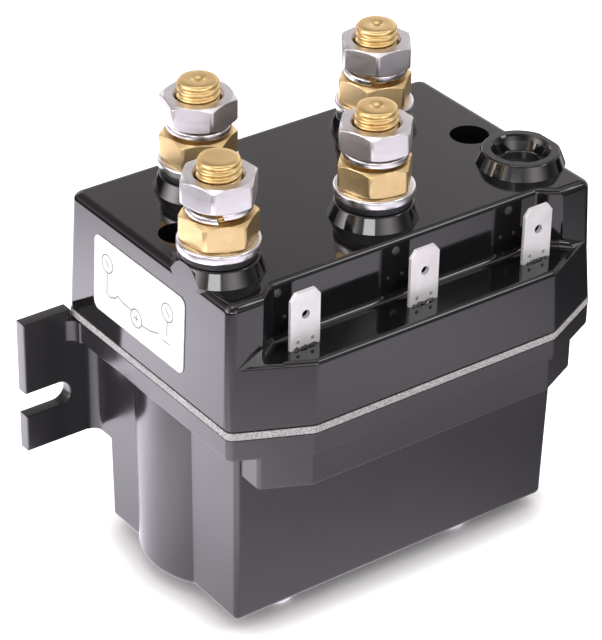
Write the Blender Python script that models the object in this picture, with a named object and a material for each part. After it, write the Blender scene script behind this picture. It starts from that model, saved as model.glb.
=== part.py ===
"""A reversing solenoid contactor for a winch or windlass motor.

A moulded cover with four terminal studs and three blade tabs closes a moulded base that has
two mounting ears. Inside stand two solenoids. Each lifts a copper contact bar from a lower
pair of contacts to an upper pair, against a return spring under the cover.

The model is drawn around the middle of the cover's flat top: X runs along the long side, Y from
the blade tabs to the mounting ears, Z up. One empty then stands the whole part on its screw heads.
"""

import math

import bmesh
import bpy
from mathutils import Matrix, Vector

MM = 0.001

# Fits
GAP = 0.3 * MM
FIT = 0.35 * MM
ROUND_STEPS = 24
SMALL_STEPS = 16
NUT_STEPS = 12
CORNER_STEPS = 2
FILLET_STEPS = 3

# Cover, sizes of the block at its top unless said otherwise
COVER_LENGTH = 80.0 * MM
COVER_WIDTH = 50.2 * MM
COVER_HEIGHT = 23.95 * MM
COVER_WALL = 2.2 * MM
COVER_ROOF = 2.5 * MM
DRAFT_ANGLE = math.radians(2.0)
TOP_FILLET = 1.5 * MM
CORNER_RADIUS = 1.2 * MM
SHELF_REACH = 6.4 * MM
SHELF_LENGTH = 53.8 * MM
SHELF_DROP = 11.5 * MM
SHELF_FILLET = 1.0 * MM
RECESS_DEPTH = 2.8 * MM
RECESS_LENGTH = 58.6 * MM
RECESS_FLARE = 4.2 * MM
RECESS_FILLET = 1.0 * MM

# Terminal studs and the parts stacked on them
STUD_DIAMETER = 7.9 * MM
STUD_RISE = 21.3 * MM
STUD_CHAMFER = 0.8 * MM
STUD_HEAD_WIDTH = 8.2 * MM
STUD_HEAD_HEIGHT = 4.0 * MM
FRONT_ROW_INSET = 13.0 * MM
BACK_ROW_INSET = 11.2 * MM
END_STUD_INSET = 6.7 * MM
BACK_STUD_INSET = 20.2 * MM
BOSS_HEIGHT = 2.9 * MM
BOSS_TOP_DIAMETER = 14.3 * MM
BOSS_FOOT_DIAMETER = 16.7 * MM
BOSS_CHAMFER = 0.5 * MM
SEAL_DIAMETER = 13.8 * MM
SEAL_HEIGHT = 1.1 * MM
WASHER_DIAMETER = 14.8 * MM
WASHER_THICKNESS = 1.3 * MM
NUT_FLATS = 12.5 * MM
NUT_HEIGHT = 4.8 * MM
NUT_CHAMFER = 0.6 * MM
SPRING_WASHER_DIAMETER = 11.8 * MM
SPRING_WASHER_THICKNESS = 1.6 * MM
SPRING_WASHER_RISE = 0.3 * MM
SPRING_WASHER_SLIT = 1.0 * MM

# Blank boss at the unused terminal place
BLANK_INSET = 6.2 * MM
BLANK_HEIGHT = 2.4 * MM
BLANK_TOP_DIAMETER = 14.3 * MM
BLANK_CHAMFER = 0.25 * MM
BLANK_DISH_DIAMETER = 11.0 * MM
BLANK_FLOOR_DIAMETER = 9.0 * MM
BLANK_DISH_DEPTH = 2.6 * MM

# Cover screws
SCREW_INSET = 7.4 * MM
SCREW_SET_BACK = 0.3 * MM
SCREW_WELL_DIAMETER = 7.45 * MM
SCREW_WELL_DEPTH = 9.0 * MM
SCREW_POST_WALL = 1.0 * MM
SCREW_HEAD_DIAMETER = 6.6 * MM
SCREW_HEAD_HEIGHT = 2.6 * MM
SCREW_SOCKET_FLATS = 3.0 * MM
SCREW_SOCKET_DEPTH = 1.5 * MM
SCREW_SHANK_DIAMETER = 3.9 * MM
SCREW_BITE = 5.0 * MM

# Blade tabs
TAB_WIDTH = 6.3 * MM
TAB_THICKNESS = 0.8 * MM
TAB_RISE = 11.2 * MM
TAB_CHAMFER = 1.4 * MM
TAB_HOLE_DIAMETER = 1.7 * MM
TAB_HOLE_FROM_TOP = 4.6 * MM
TAB_PITCH = 25.8 * MM
TAB_MIDDLE_X = 0.3 * MM
TAB_SET_BACK = 5.0 * MM
TAB_LEG_WIDTH = 4.2 * MM
TAB_LEG_LENGTH = 6.5 * MM

# Label on the left end
LABEL_LENGTH = 28.7 * MM
LABEL_HEIGHT = 15.15 * MM
LABEL_THICKNESS = 0.25 * MM
LABEL_RADIUS = 1.6 * MM
LABEL_Y = 2.35 * MM
LABEL_DROP = 12.1 * MM

# Gasket between cover and base
GASKET_THICKNESS = 1.35 * MM
GASKET_WIDTH = 2.6 * MM
GASKET_PROUD = 0.45 * MM
GASKET_ROUND = 0.35 * MM

# Base
BASE_DRAFT_ANGLE = math.radians(0.8)
FLANGE_HEIGHT = 4.1 * MM
FLANGE_PROUD = 0.35 * MM
FLANGE_WALL = 3.0 * MM
FLANGE_EDGE = 0.4 * MM
BAND_HEIGHT = 7.3 * MM
BAND_INSET = 0.8 * MM
BODY_END_INSET = 4.34 * MM
BODY_FRONT_INSET = 3.84 * MM
BODY_DROP = 44.8 * MM
BODY_WALL = 2.0 * MM
BODY_FLOOR = 2.2 * MM
BODY_RADIUS = 1.5 * MM
BODY_FOOT_FILLET = 1.3 * MM
BULGE_RADIUS = 16.5 * MM
BULGE_REACH = 2.9 * MM
LEDGE_DEPTH = 3.0 * MM
SCREW_PILLAR_DIAMETER = 7.6 * MM
SCREW_PILLAR_HEIGHT = 7.0 * MM

# Mounting ears, one plate across the back
EAR_SPAN = 103.4 * MM
EAR_THICKNESS = 2.8 * MM
BACK_PROUD = 0.5 * MM
EAR_HEIGHT = 27.4 * MM
EAR_SHOULDER = 2.0 * MM
EAR_SLOT_WIDTH = 5.0 * MM
EAR_SLOT_DEPTH = 9.5 * MM
EAR_SLOT_DROP = 17.35 * MM
EAR_FILLET = 2.0 * MM

# Screws under the base
FOOT_HEAD_DIAMETER = 5.8 * MM
FOOT_HEAD_HEIGHT = 1.3 * MM
FOOT_SHANK_DIAMETER = 2.8 * MM
FOOT_FRONT_INSET = 5.7 * MM
FOOT_BACK_INSET = 9.2 * MM
FOOT_LEFT_INSET = 13.3 * MM
FOOT_RIGHT_INSET = 18.7 * MM

# Solenoids
COIL_Y = 1.3 * MM
COIL_CLEARANCE = 1.05 * MM
YOKE_CLEARANCE = 0.85 * MM
YOKE_WIDTH = 16.0 * MM
YOKE_THICKNESS = 2.0 * MM
YOKE_TOP_DROP = 8.6 * MM
BOBBIN_TUBE_DIAMETER = 13.4 * MM
BOBBIN_FLANGE = 1.6 * MM
WINDING_INSET = 0.8 * MM
PLUNGER_DIAMETER = 10.0 * MM
PLUNGER_LENGTH = 14.4 * MM
CORE_COLLAR_DIAMETER = 11.2 * MM
CORE_COLLAR_HEIGHT = 2.0 * MM
ROD_DIAMETER = 3.2 * MM
STROKE = 3.0 * MM
STROKE_MARGIN = 0.3 * MM

# Contacts
BAR_OVERHANG = 1.0 * MM
BAR_WIDTH = 8.0 * MM
BAR_THICKNESS = 2.0 * MM
STRIP_THICKNESS = 1.8 * MM
STRIP_WIDTH = 8.0 * MM
PAD_DIAMETER = 4.6 * MM
PAD_HEIGHT = 1.0 * MM
CARRIER_DIAMETER = 8.0 * MM
CARRIER_NECK_DIAMETER = 5.4 * MM
CARRIER_HEIGHT = 4.0 * MM
ROD_TIP = 3.0 * MM
SPRING_DIAMETER = 7.4 * MM
SPRING_WIRE = 0.8 * MM
SPRING_TURNS = 4.5
TRAY_THICKNESS = 2.0 * MM
TRAY_RIB_WIDTH = 4.0 * MM

# Heights of the main levels, worked out from the sizes above
DRAFT = math.tan(DRAFT_ANGLE)
BASE_DRAFT = math.tan(BASE_DRAFT_ANGLE)
GASKET_TOP = -COVER_HEIGHT - GAP
FLANGE_TOP = GASKET_TOP - GASKET_THICKNESS - GAP
FLANGE_BOTTOM = FLANGE_TOP - FLANGE_HEIGHT
BAND_BOTTOM = FLANGE_BOTTOM - BAND_HEIGHT
BASE_BOTTOM = FLANGE_TOP - BODY_DROP
BASE_FLOOR = BASE_BOTTOM + BODY_FLOOR
LEDGE_TOP = FLANGE_TOP - LEDGE_DEPTH
FOOT_BOTTOM = BASE_BOTTOM - GAP - FOOT_HEAD_HEIGHT
ROOF = -COVER_ROOF
STUD_HEAD_BOTTOM = ROOF - GAP - STUD_HEAD_HEIGHT
UPPER_STRIP_TOP = STUD_HEAD_BOTTOM - GAP
UPPER_PAD_FACE = UPPER_STRIP_TOP - STRIP_THICKNESS - PAD_HEIGHT
BAR_TOP = UPPER_PAD_FACE - STROKE - STROKE_MARGIN
BAR_BOTTOM = BAR_TOP - BAR_THICKNESS
LOWER_PAD_FACE = BAR_BOTTOM - GAP
LOWER_STRIP_TOP = LOWER_PAD_FACE - PAD_HEIGHT
LOWER_STRIP_BOTTOM = LOWER_STRIP_TOP - STRIP_THICKNESS
TRAY_BOTTOM = LEDGE_TOP + GAP
TRAY_TOP = TRAY_BOTTOM + TRAY_THICKNESS
YOKE_BOTTOM = BASE_FLOOR + GAP
YOKE_TOP = FLANGE_TOP - YOKE_TOP_DROP
PLUNGER_BOTTOM = YOKE_BOTTOM + YOKE_THICKNESS + GAP
PLUNGER_TOP = PLUNGER_BOTTOM + PLUNGER_LENGTH
CORE_BOTTOM = PLUNGER_TOP + STROKE + STROKE_MARGIN

# Plan of the two housings where they meet
JOINT_HALF_LENGTH = COVER_LENGTH / 2 + DRAFT * COVER_HEIGHT
JOINT_HALF_WIDTH = COVER_WIDTH / 2 + DRAFT * COVER_HEIGHT
BACK_FACE = JOINT_HALF_WIDTH + BACK_PROUD
FRONT_FACE = JOINT_HALF_WIDTH + SHELF_REACH + GASKET_PROUD
RECESS_WALL = COVER_WIDTH / 2 - RECESS_DEPTH
TAB_Y = -(COVER_WIDTH / 2 + SHELF_REACH - TAB_SET_BACK)

# Places of the studs and the screws, measured in from the cover's edges
FRONT_ROW_Y = FRONT_ROW_INSET - COVER_WIDTH / 2
BACK_ROW_Y = COVER_WIDTH / 2 - BACK_ROW_INSET
FRONT_ROW_X = COVER_LENGTH / 2 - END_STUD_INSET
BACK_ROW_X = COVER_LENGTH / 2 - BACK_STUD_INSET
SCREW_X = COVER_LENGTH / 2 - SCREW_INSET
SCREW_Y = (FRONT_ROW_Y + BACK_ROW_Y) / 2 + SCREW_SET_BACK

# The base's body, measured in from the joint, and the coils that fill it
FLOOR_DRAW = BASE_DRAFT * (BAND_BOTTOM - BASE_FLOOR)
BODY_HALF_LENGTH = JOINT_HALF_LENGTH - BODY_END_INSET
BODY_FRONT = JOINT_HALF_WIDTH - BODY_FRONT_INSET
COIL_X = BODY_HALF_LENGTH + BULGE_REACH - BULGE_RADIUS
BOBBIN_DIAMETER = 2 * (BULGE_RADIUS - BODY_WALL - FLOOR_DRAW - COIL_CLEARANCE)
WINDING_DIAMETER = BOBBIN_DIAMETER - 2 * WINDING_INSET
YOKE_SPREAD = BOBBIN_DIAMETER + 2 * YOKE_THICKNESS + 4 * GAP
BODY_BACK = COIL_Y + YOKE_SPREAD / 2 + YOKE_CLEARANCE + FLOOR_DRAW + BODY_WALL
FOOT_FRONT_Y = FOOT_FRONT_INSET - BODY_FRONT
FOOT_BACK_Y = BODY_BACK - FOOT_BACK_INSET
FOOT_LEFT_X = FOOT_LEFT_INSET - BODY_HALF_LENGTH
FOOT_RIGHT_X = BODY_HALF_LENGTH - FOOT_RIGHT_INSET

# Ends of the contact bars, just past the pads that they bridge
LINK_PAD_Y = BACK_ROW_Y - STRIP_WIDTH / 8
BAR_FRONT = FRONT_ROW_Y - PAD_DIAMETER / 2 - BAR_OVERHANG
BAR_BACK = LINK_PAD_Y + PAD_DIAMETER / 2 + BAR_OVERHANG

# The four studs, numbered from the front left round to the back right
STUD_PLACES = [
    (-FRONT_ROW_X, FRONT_ROW_Y),
    (0.0, FRONT_ROW_Y),
    (-BACK_ROW_X, BACK_ROW_Y),
    (BACK_ROW_X, BACK_ROW_Y),
]
BLANK_PLACE = (COVER_LENGTH / 2 - BLANK_INSET, FRONT_ROW_Y)
BRASS_NUT_TURNS = [math.radians(angle) for angle in (5.5, 16.1, 1.9, 10.8)]
STEEL_NUT_TURNS = [math.radians(angle) for angle in (17.5, 17.5, 45.9, 25.5)]
SPLIT_TURNS = [math.radians(angle) for angle in (238.5, 70.0, 85.0, 228.5)]


def clear_scene():
    for obj in list(bpy.data.objects):
        bpy.data.objects.remove(obj, do_unlink=True)


def material(name, colour, roughness, metallic=0.0):
    made = bpy.data.materials.get(name)
    if made:
        return made
    made = bpy.data.materials.new(name)
    made.use_nodes = True
    shader = made.node_tree.nodes["Principled BSDF"]
    shader.inputs["Base Color"].default_value = (*colour, 1.0)
    shader.inputs["Roughness"].default_value = roughness
    shader.inputs["Metallic"].default_value = metallic
    return made


def black_gloss():
    return material("black_gloss_plastic", (0.012, 0.011, 0.012), 0.12)


def black_satin():
    return material("black_satin_plastic", (0.022, 0.021, 0.024), 0.35)


def grey_rubber():
    return material("grey_gasket", (0.42, 0.41, 0.42), 0.8)


def white_print():
    return material("white_label", (0.85, 0.85, 0.86), 0.5)


def brass():
    return material("brass", (0.78, 0.52, 0.2), 0.25, 1.0)


def zinc_steel():
    return material("zinc_steel", (0.6, 0.59, 0.6), 0.3, 1.0)


def tinned():
    return material("tinned_brass", (0.72, 0.71, 0.72), 0.35, 1.0)


def copper():
    return material("copper", (0.72, 0.36, 0.22), 0.3, 1.0)


def soft_iron():
    return material("soft_iron", (0.35, 0.35, 0.36), 0.4, 1.0)


def cream_plastic():
    return material("cream_plastic", (0.6, 0.57, 0.48), 0.5)


def finish(bm, name, surface, parent, location=(0.0, 0.0, 0.0)):
    """Turns a closed bmesh into a named object with smooth round faces."""
    bmesh.ops.recalc_face_normals(bm, faces=bm.faces)
    mesh = bpy.data.meshes.new(name)
    bm.to_mesh(mesh)
    bm.free()
    mesh.shade_smooth()
    mesh.set_sharp_from_angle(angle=math.radians(32.0))
    obj = bpy.data.objects.new(name, mesh)
    bpy.context.scene.collection.objects.link(obj)
    obj.parent = parent
    obj.location = location
    if surface:
        mesh.materials.append(surface)
    return obj


def helper(bm, name, parent, location=(0.0, 0.0, 0.0)):
    """A solid that only adds to or cuts from another piece."""
    obj = finish(bm, name, None, parent, location)
    obj.hide_render = True
    obj.display_type = "WIRE"
    return obj


def combine(target, tool, operation):
    modifier = target.modifiers.new(f"{operation.lower()}_{tool.name}", "BOOLEAN")
    modifier.operation = operation
    modifier.solver = "EXACT"
    modifier.object = tool


def combine_all(target, name, tools, operation):
    """Joins or cuts with several helpers in one step, so that they may run into each other."""
    group = bpy.data.collections.new(name)
    for tool in tools:
        group.objects.link(tool)
    modifier = target.modifiers.new(f"{operation.lower()}_{name}", "BOOLEAN")
    modifier.operation = operation
    modifier.solver = "EXACT"
    modifier.operand_type = "COLLECTION"
    modifier.collection = group


def loft(rings, bm=None):
    """A closed solid through rings of points; each ring is a list of (x, y, z)."""
    bm = bm or bmesh.new()
    loops = [[bm.verts.new(point) for point in ring] for ring in rings]
    count = len(loops[0])
    for lower, upper in zip(loops, loops[1:]):
        for i in range(count):
            j = (i + 1) % count
            bm.faces.new((lower[i], lower[j], upper[j], upper[i]))
    bm.faces.new(reversed(loops[0]))
    bm.faces.new(loops[-1])
    return bm


def level(outline, z):
    return [(x, y, z) for x, y in outline]


def prism(outline, bottom, top, bm=None):
    return loft([level(outline, bottom), level(outline, top)], bm)


def box(x0, x1, y0, y1, z0, z1, bm=None):
    return prism([(x0, y0), (x1, y0), (x1, y1), (x0, y1)], z0, z1, bm)


def turned(profile, steps=ROUND_STEPS, centre=(0.0, 0.0), bm=None):
    """Turns a closed profile of (radius, z) points round a vertical axis."""
    bm = bm or bmesh.new()
    columns = []
    for i in range(steps):
        angle = 2 * math.pi * i / steps
        c, s = math.cos(angle), math.sin(angle)
        columns.append([(centre[0] + r * c, centre[1] + r * s, z) for r, z in profile])
    on_axis = {k for k, (r, _) in enumerate(profile) if r == 0.0}
    shared = {k: bm.verts.new((*centre, profile[k][1])) for k in on_axis}
    verts = [[shared.get(k) or bm.verts.new(p) for k, p in enumerate(col)] for col in columns]
    last = len(profile)
    for i in range(steps):
        a, b = verts[i], verts[(i + 1) % steps]
        for k in range(last):
            m = (k + 1) % last
            corners = [a[k], b[k], b[m], a[m]]
            corners = [v for n, v in enumerate(corners) if v not in corners[:n]]
            if len(corners) > 2:
                bm.faces.new(corners)
    return bm


def disc(radius, bottom, top, steps=ROUND_STEPS, centre=(0.0, 0.0), bm=None):
    return turned([(0.0, bottom), (radius, bottom), (radius, top), (0.0, top)], steps, centre, bm)


def offset(points, distance):
    """Moves each side of a counter-clockwise polygon outwards, and meets them at mitres."""
    grown = []
    for i, here in enumerate(points):
        before, after = points[i - 1], points[(i + 1) % len(points)]
        one = Vector((here[0] - before[0], here[1] - before[1])).normalized()
        two = Vector((after[0] - here[0], after[1] - here[1])).normalized()
        n1, n2 = Vector((one.y, -one.x)), Vector((two.y, -two.x))
        shift = (n1 + n2) * (distance / (1.0 + n1.dot(n2)))
        grown.append((here[0] + shift.x, here[1] + shift.y))
    return grown


def rounded(points, radius, steps=CORNER_STEPS):
    """Replaces each corner of a polygon by an arc that is tangent to its two sides."""
    outline = []
    for i, here in enumerate(points):
        corner = Vector(here)
        to_before = (Vector(points[i - 1]) - corner).normalized()
        to_after = (Vector(points[(i + 1) % len(points)]) - corner).normalized()
        half = math.acos(max(-1.0, min(1.0, to_before.dot(to_after)))) / 2
        centre = corner + (to_before + to_after).normalized() * (radius / math.sin(half))
        start = corner + to_before * (radius / math.tan(half)) - centre
        end = corner + to_after * (radius / math.tan(half)) - centre
        sweep = math.atan2(start.x * end.y - start.y * end.x, start.dot(end))
        for k in range(steps + 1):
            turned_start = Matrix.Rotation(sweep * k / steps, 2) @ start
            outline.append(tuple(centre + turned_start))
    return outline


def block_plan(grow=0.0):
    x, y = COVER_LENGTH / 2 + grow, COVER_WIDTH / 2 + grow
    return [(x, y), (-x, y), (-x, -y), (x, -y)]


def housing_plan():
    """Sharp plan of the housings at their joint: a block with a shelf along its front."""
    x, y, w = JOINT_HALF_LENGTH, JOINT_HALF_WIDTH, SHELF_LENGTH / 2
    return [(x, y), (-x, y), (-x, -y), (-w, -y - SHELF_REACH), (w, -y - SHELF_REACH), (x, -y)]


def housing_outline(grow=0.0, radius=CORNER_RADIUS):
    return rounded(offset(housing_plan(), grow), radius)


def fillet_rings(plan, grow, top, radius, corner):
    """Rings that round the top edge of a drafted solid, ending at the height top."""
    rings = []
    for k in range(FILLET_STEPS + 1):
        angle = math.pi / 2 * k / FILLET_STEPS
        inward = radius * (1 - math.cos(angle))
        z = top - radius + radius * math.sin(angle)
        shape = offset(plan, grow + DRAFT * max(0.0, -z) - inward)
        rings.append(level(rounded(shape, max(corner - inward * 0.5, corner * 0.4)), z))
    return rings


def shelf_plan():
    """The shelf and what of the block lies behind it, kept just inside the block's ends."""
    inside = CORNER_RADIUS / 2
    x, y, w = COVER_LENGTH / 2, COVER_WIDTH / 2, SHELF_LENGTH / 2 - DRAFT * COVER_HEIGHT / 2
    start = y + SHELF_REACH * inside / (x - w)
    rear = COVER_WIDTH / 4
    return [
        (x - inside, -rear),
        (-x + inside, -rear),
        (-x + inside, -start),
        (-w, -y - SHELF_REACH),
        (w, -y - SHELF_REACH),
        (x - inside, -start),
    ]


def recess_cutter(parent):
    """Room for the blade tabs above the shelf, flared at the top so that the wall's edge is round."""
    back = RECESS_LENGTH / 2
    slant = RECESS_FLARE / RECESS_DEPTH
    out = COVER_WIDTH / 2 + 2 * SHELF_REACH
    reach = back + slant * (out - RECESS_WALL)
    plan = [(back, -RECESS_WALL), (-back, -RECESS_WALL), (-reach, -out), (reach, -out)]
    rings = [level(rounded(plan, CORNER_RADIUS), -SHELF_DROP)]
    for k in range(FILLET_STEPS + 1):
        angle = math.pi / 2 * k / FILLET_STEPS
        grow = RECESS_FILLET * (1 - math.cos(angle))
        z = RECESS_FILLET * (math.sin(angle) - 1)
        rings.append(level(rounded(offset(plan, grow), CORNER_RADIUS + grow), z))
    grow = RECESS_FILLET
    rings.append(level(rounded(offset(plan, grow), CORNER_RADIUS + grow), grow))
    return helper(loft(rings), "recess_cutter", parent)


def boss_profile(height, top_diameter, foot_diameter, chamfer, root):
    top, foot = top_diameter / 2, foot_diameter / 2
    return [
        (0.0, -root),
        (foot - chamfer, -root),
        (foot, 0.0),
        (top, height - chamfer),
        (top - chamfer, height),
        (0.0, height),
    ]


def make_cover(parent):
    plan = block_plan()
    low = level(rounded(offset(plan, DRAFT * COVER_HEIGHT), CORNER_RADIUS), -COVER_HEIGHT)
    rings = [low] + fillet_rings(plan, 0.0, 0.0, TOP_FILLET, CORNER_RADIUS)
    cover = finish(loft(rings), "cover", black_gloss(), parent)

    shelf = shelf_plan()
    grown = offset(shelf, DRAFT * COVER_HEIGHT)
    low = level(rounded(grown, CORNER_RADIUS / 2), -COVER_HEIGHT)
    rings = [low] + fillet_rings(shelf, 0.0, -SHELF_DROP, SHELF_FILLET, CORNER_RADIUS / 2)
    combine(cover, helper(loft(rings), "shelf_body", parent), "UNION")
    combine(cover, recess_cutter(parent), "DIFFERENCE")

    combine(cover, make_bosses(parent), "UNION")
    hollow_cover(cover, parent)
    bore_cover(cover, parent)
    return cover


def make_bosses(parent):
    """The five bosses, with the outer two cut off flush with the drafted ends of the block."""
    root = COVER_ROOF / 2
    sizes = [(place, BOSS_HEIGHT, BOSS_TOP_DIAMETER, BOSS_CHAMFER) for place in STUD_PLACES]
    sizes.append((BLANK_PLACE, BLANK_HEIGHT, BLANK_TOP_DIAMETER, BLANK_CHAMFER))
    bm = bmesh.new()
    for place, height, top_diameter, chamfer in sizes:
        profile = boss_profile(height, top_diameter, BOSS_FOOT_DIAMETER, chamfer, root)
        turned(profile, centre=place, bm=bm)
    bosses = helper(bm, "bosses", parent)
    reach = BOSS_FOOT_DIAMETER
    y0, y1 = FRONT_ROW_Y - reach, FRONT_ROW_Y + reach
    bm = bmesh.new()
    for side in (-1, 1):
        rings = []
        for z in (-COVER_ROOF, 2 * BOSS_HEIGHT):
            inner = side * (COVER_LENGTH / 2 - DRAFT * z)
            outer = side * (COVER_LENGTH / 2 + reach)
            rings.append([(inner, y0, z), (outer, y0, z), (outer, y1, z), (inner, y1, z)])
        loft(rings, bm)
    combine(bosses, helper(bm, "boss_trim", parent), "DIFFERENCE")
    return bosses


def hollow_cover(cover, parent):
    """Opens the cover from below and leaves its screw posts standing."""
    below = -COVER_HEIGHT - COVER_WALL
    plan = block_plan(-COVER_WALL)
    front = -(RECESS_WALL - COVER_WALL)
    plan[2] = (plan[2][0], front)
    plan[3] = (plan[3][0], front)
    rings = [
        level(rounded(offset(plan, DRAFT * -z), CORNER_RADIUS), z) for z in (below, ROOF)
    ]
    hollows = [helper(loft(rings), "main_hollow", parent)]

    shelf = offset(shelf_plan(), -COVER_WALL)
    rings = [
        level(rounded(offset(shelf, DRAFT * -z), CORNER_RADIUS / 2), z)
        for z in (below, -SHELF_DROP - COVER_WALL)
    ]
    hollows.append(helper(loft(rings), "shelf_hollow", parent))
    combine_all(cover, "cover_hollows", hollows, "DIFFERENCE")

    radius = SCREW_WELL_DIAMETER / 2 + SCREW_POST_WALL
    bm = bmesh.new()
    for side in (-1, 1):
        disc(radius, -COVER_HEIGHT, ROOF / 2, centre=(side * SCREW_X, SCREW_Y), bm=bm)
    combine(cover, helper(bm, "screw_posts", parent), "UNION")


def bore_cover(cover, parent):
    """Holes for the studs and the tabs, the dish of the blank boss, and the screw wells."""
    bm = bmesh.new()
    for place in STUD_PLACES:
        disc(STUD_DIAMETER / 2 + FIT, 2 * ROOF, 2 * BOSS_HEIGHT, centre=place, bm=bm)
    half, thick = TAB_LEG_WIDTH / 2 + GAP, TAB_THICKNESS / 2 + GAP
    low, high = -SHELF_DROP - 2 * COVER_WALL, -SHELF_DROP + COVER_WALL
    for x in tab_places():
        box(x - half, x + half, TAB_Y - thick, TAB_Y + thick, low, high, bm)
    tools = [helper(bm, "stud_bores", parent)]

    top, floor = BLANK_DISH_DIAMETER / 2, BLANK_FLOOR_DIAMETER / 2
    low, above = BLANK_HEIGHT - BLANK_DISH_DEPTH, BLANK_HEIGHT + BLANK_DISH_DEPTH
    profile = [(0.0, low), (floor, low), (2 * top - floor, above), (0.0, above)]
    dish = turned(profile, centre=BLANK_PLACE)
    tools.append(helper(dish, "blank_dish", parent))

    shank, well = SCREW_SHANK_DIAMETER / 2 + FIT, SCREW_WELL_DIAMETER / 2
    bottom = -COVER_HEIGHT - COVER_WALL
    profile = [
        (0.0, bottom),
        (shank, bottom),
        (shank, -SCREW_WELL_DEPTH),
        (well, -SCREW_WELL_DEPTH),
        (well, COVER_ROOF),
        (0.0, COVER_ROOF),
    ]
    bm = bmesh.new()
    for side in (-1, 1):
        turned(profile, centre=(side * SCREW_X, SCREW_Y), bm=bm)
    tools.append(helper(bm, "screw_wells", parent))
    combine_all(cover, "cover_bores", tools, "DIFFERENCE")


def tab_places():
    return [TAB_MIDDLE_X + step * TAB_PITCH for step in (-1, 0, 1)]


def make_gasket(parent):
    """A flat rubber frame with a rounded outer edge."""
    top, bottom = GASKET_TOP, GASKET_TOP - GASKET_THICKNESS
    edge = GASKET_ROUND
    inner = GASKET_PROUD - GASKET_WIDTH
    outer = GASKET_PROUD
    section = [
        (inner, bottom),
        (outer - edge, bottom),
        (outer, bottom + edge),
        (outer, top - edge),
        (outer - edge, top),
        (inner, top),
    ]
    bm = bmesh.new()
    loops = []
    for grow, z in section:
        ring = level(housing_outline(grow, CORNER_RADIUS), z)
        loops.append([bm.verts.new(point) for point in ring])
    count = len(loops[0])
    for k, loop in enumerate(loops):
        other = loops[(k + 1) % len(loops)]
        for i in range(count):
            j = (i + 1) % count
            bm.faces.new((loop[i], loop[j], other[j], other[i]))
    return finish(bm, "gasket", grey_rubber(), parent)


def body_plan(grow=0.0):
    x, back, front = BODY_HALF_LENGTH + grow, BODY_BACK + grow, -BODY_FRONT - grow
    return [(x, back), (-x, back), (-x, front), (x, front)]


def body_draft(z):
    """How far the base has drawn in at a height below the band."""
    return BASE_DRAFT * max(0.0, BAND_BOTTOM - z)


def band_plan():
    """The step under the flange, as long as the body and reaching out under the shelf."""
    flange = offset(housing_plan(), FLANGE_PROUD - BAND_INSET)
    (side_x, side_y), (front_x, front_y) = flange[2], flange[3]
    x, rear = BODY_HALF_LENGTH, BODY_BACK / 2
    flank_y = side_y + (front_y - side_y) * (-x - side_x) / (front_x - side_x)
    half = [(-x, rear), (-x, flank_y), (front_x, front_y)]
    return [(-px, y) for px, y in half[:1]] + half + [(-px, y) for px, y in half[:0:-1]]


def footed_rings(shape, top, radius, floor_radius):
    """Rings of a drafted solid from its rounded foot up to the height top."""
    rings = []
    for k in range(FILLET_STEPS + 1):
        angle = math.pi / 2 * (1 - k / FILLET_STEPS)
        inward = floor_radius * (1 - math.cos(angle))
        z = BASE_BOTTOM + floor_radius * (1 - math.sin(angle))
        corner = max(radius - inward * 0.5, radius * 0.4)
        rings.append(level(rounded(offset(shape, -body_draft(z) - inward), corner), z))
    rings.append(level(rounded(shape, radius), BAND_BOTTOM))
    rings.append(level(rounded(shape, radius), top))
    return rings


def bulge_profile(radius, bottom, top, fillet):
    """Half section of the round end of the base over a coil, drawn in with the body's draft."""
    profile = [(0.0, bottom)]
    for k in range(FILLET_STEPS + 1):
        angle = math.pi / 2 * (1 - k / FILLET_STEPS)
        z = bottom + fillet * (1 - math.sin(angle))
        profile.append((radius - body_draft(z) - fillet * (1 - math.cos(angle)), z))
    return profile + [(radius, BAND_BOTTOM), (radius, top), (0.0, top)]


def make_base(parent):
    rings = [
        level(housing_outline(FLANGE_PROUD - FLANGE_EDGE), FLANGE_BOTTOM),
        level(housing_outline(FLANGE_PROUD), FLANGE_BOTTOM + FLANGE_EDGE),
        level(housing_outline(FLANGE_PROUD), FLANGE_TOP),
    ]
    base = finish(loft(rings), "base", black_satin(), parent)
    seam = FLANGE_BOTTOM + FLANGE_HEIGHT / 4

    plan = band_plan()
    edge = FLANGE_EDGE
    rings = [
        level(rounded(offset(plan, -edge), CORNER_RADIUS), BAND_BOTTOM),
        level(rounded(plan, CORNER_RADIUS), BAND_BOTTOM + edge),
        level(rounded(plan, CORNER_RADIUS), seam),
    ]
    tools = [helper(loft(rings), "band_body", parent)]
    rings = footed_rings(body_plan(), seam, BODY_RADIUS, BODY_FOOT_FILLET)
    tools.append(helper(loft(rings), "body_block", parent))
    for side in (-1, 1):
        centre = (side * COIL_X, COIL_Y)
        profile = bulge_profile(BULGE_RADIUS, BASE_BOTTOM, seam, BODY_FOOT_FILLET)
        bulge = turned(profile, 2 * ROUND_STEPS, centre)
        tools.append(helper(bulge, f"bulge_{side + 2}", parent))
    combine_all(base, "base_bodies", tools + make_ears(parent), "UNION")
    hollow_base(base, parent)
    return base


def ear_outline():
    """Front view of the mounting plate: wide below, with a raised shoulder on each ear."""
    out = EAR_SPAN / 2
    inner = JOINT_HALF_LENGTH + GASKET_PROUD + GAP
    top = FLANGE_TOP + EAR_SHOULDER
    bottom = top - EAR_HEIGHT
    seat = FLANGE_TOP
    slot_z = top - EAR_SLOT_DROP
    radius = EAR_SLOT_WIDTH / 2
    outline = [(inner, seat), (inner, top), (out, top)]
    centre_x = out - EAR_SLOT_DEPTH + radius
    outline.append((out, slot_z + radius))
    for k in range(9):
        angle = math.pi / 2 + math.pi * k / 8
        outline.append((centre_x + radius * math.cos(angle), slot_z + radius * math.sin(angle)))
    outline += [(out, slot_z - radius), (out, bottom)]
    return outline + [(-x, z) for x, z in reversed(outline)]


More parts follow.
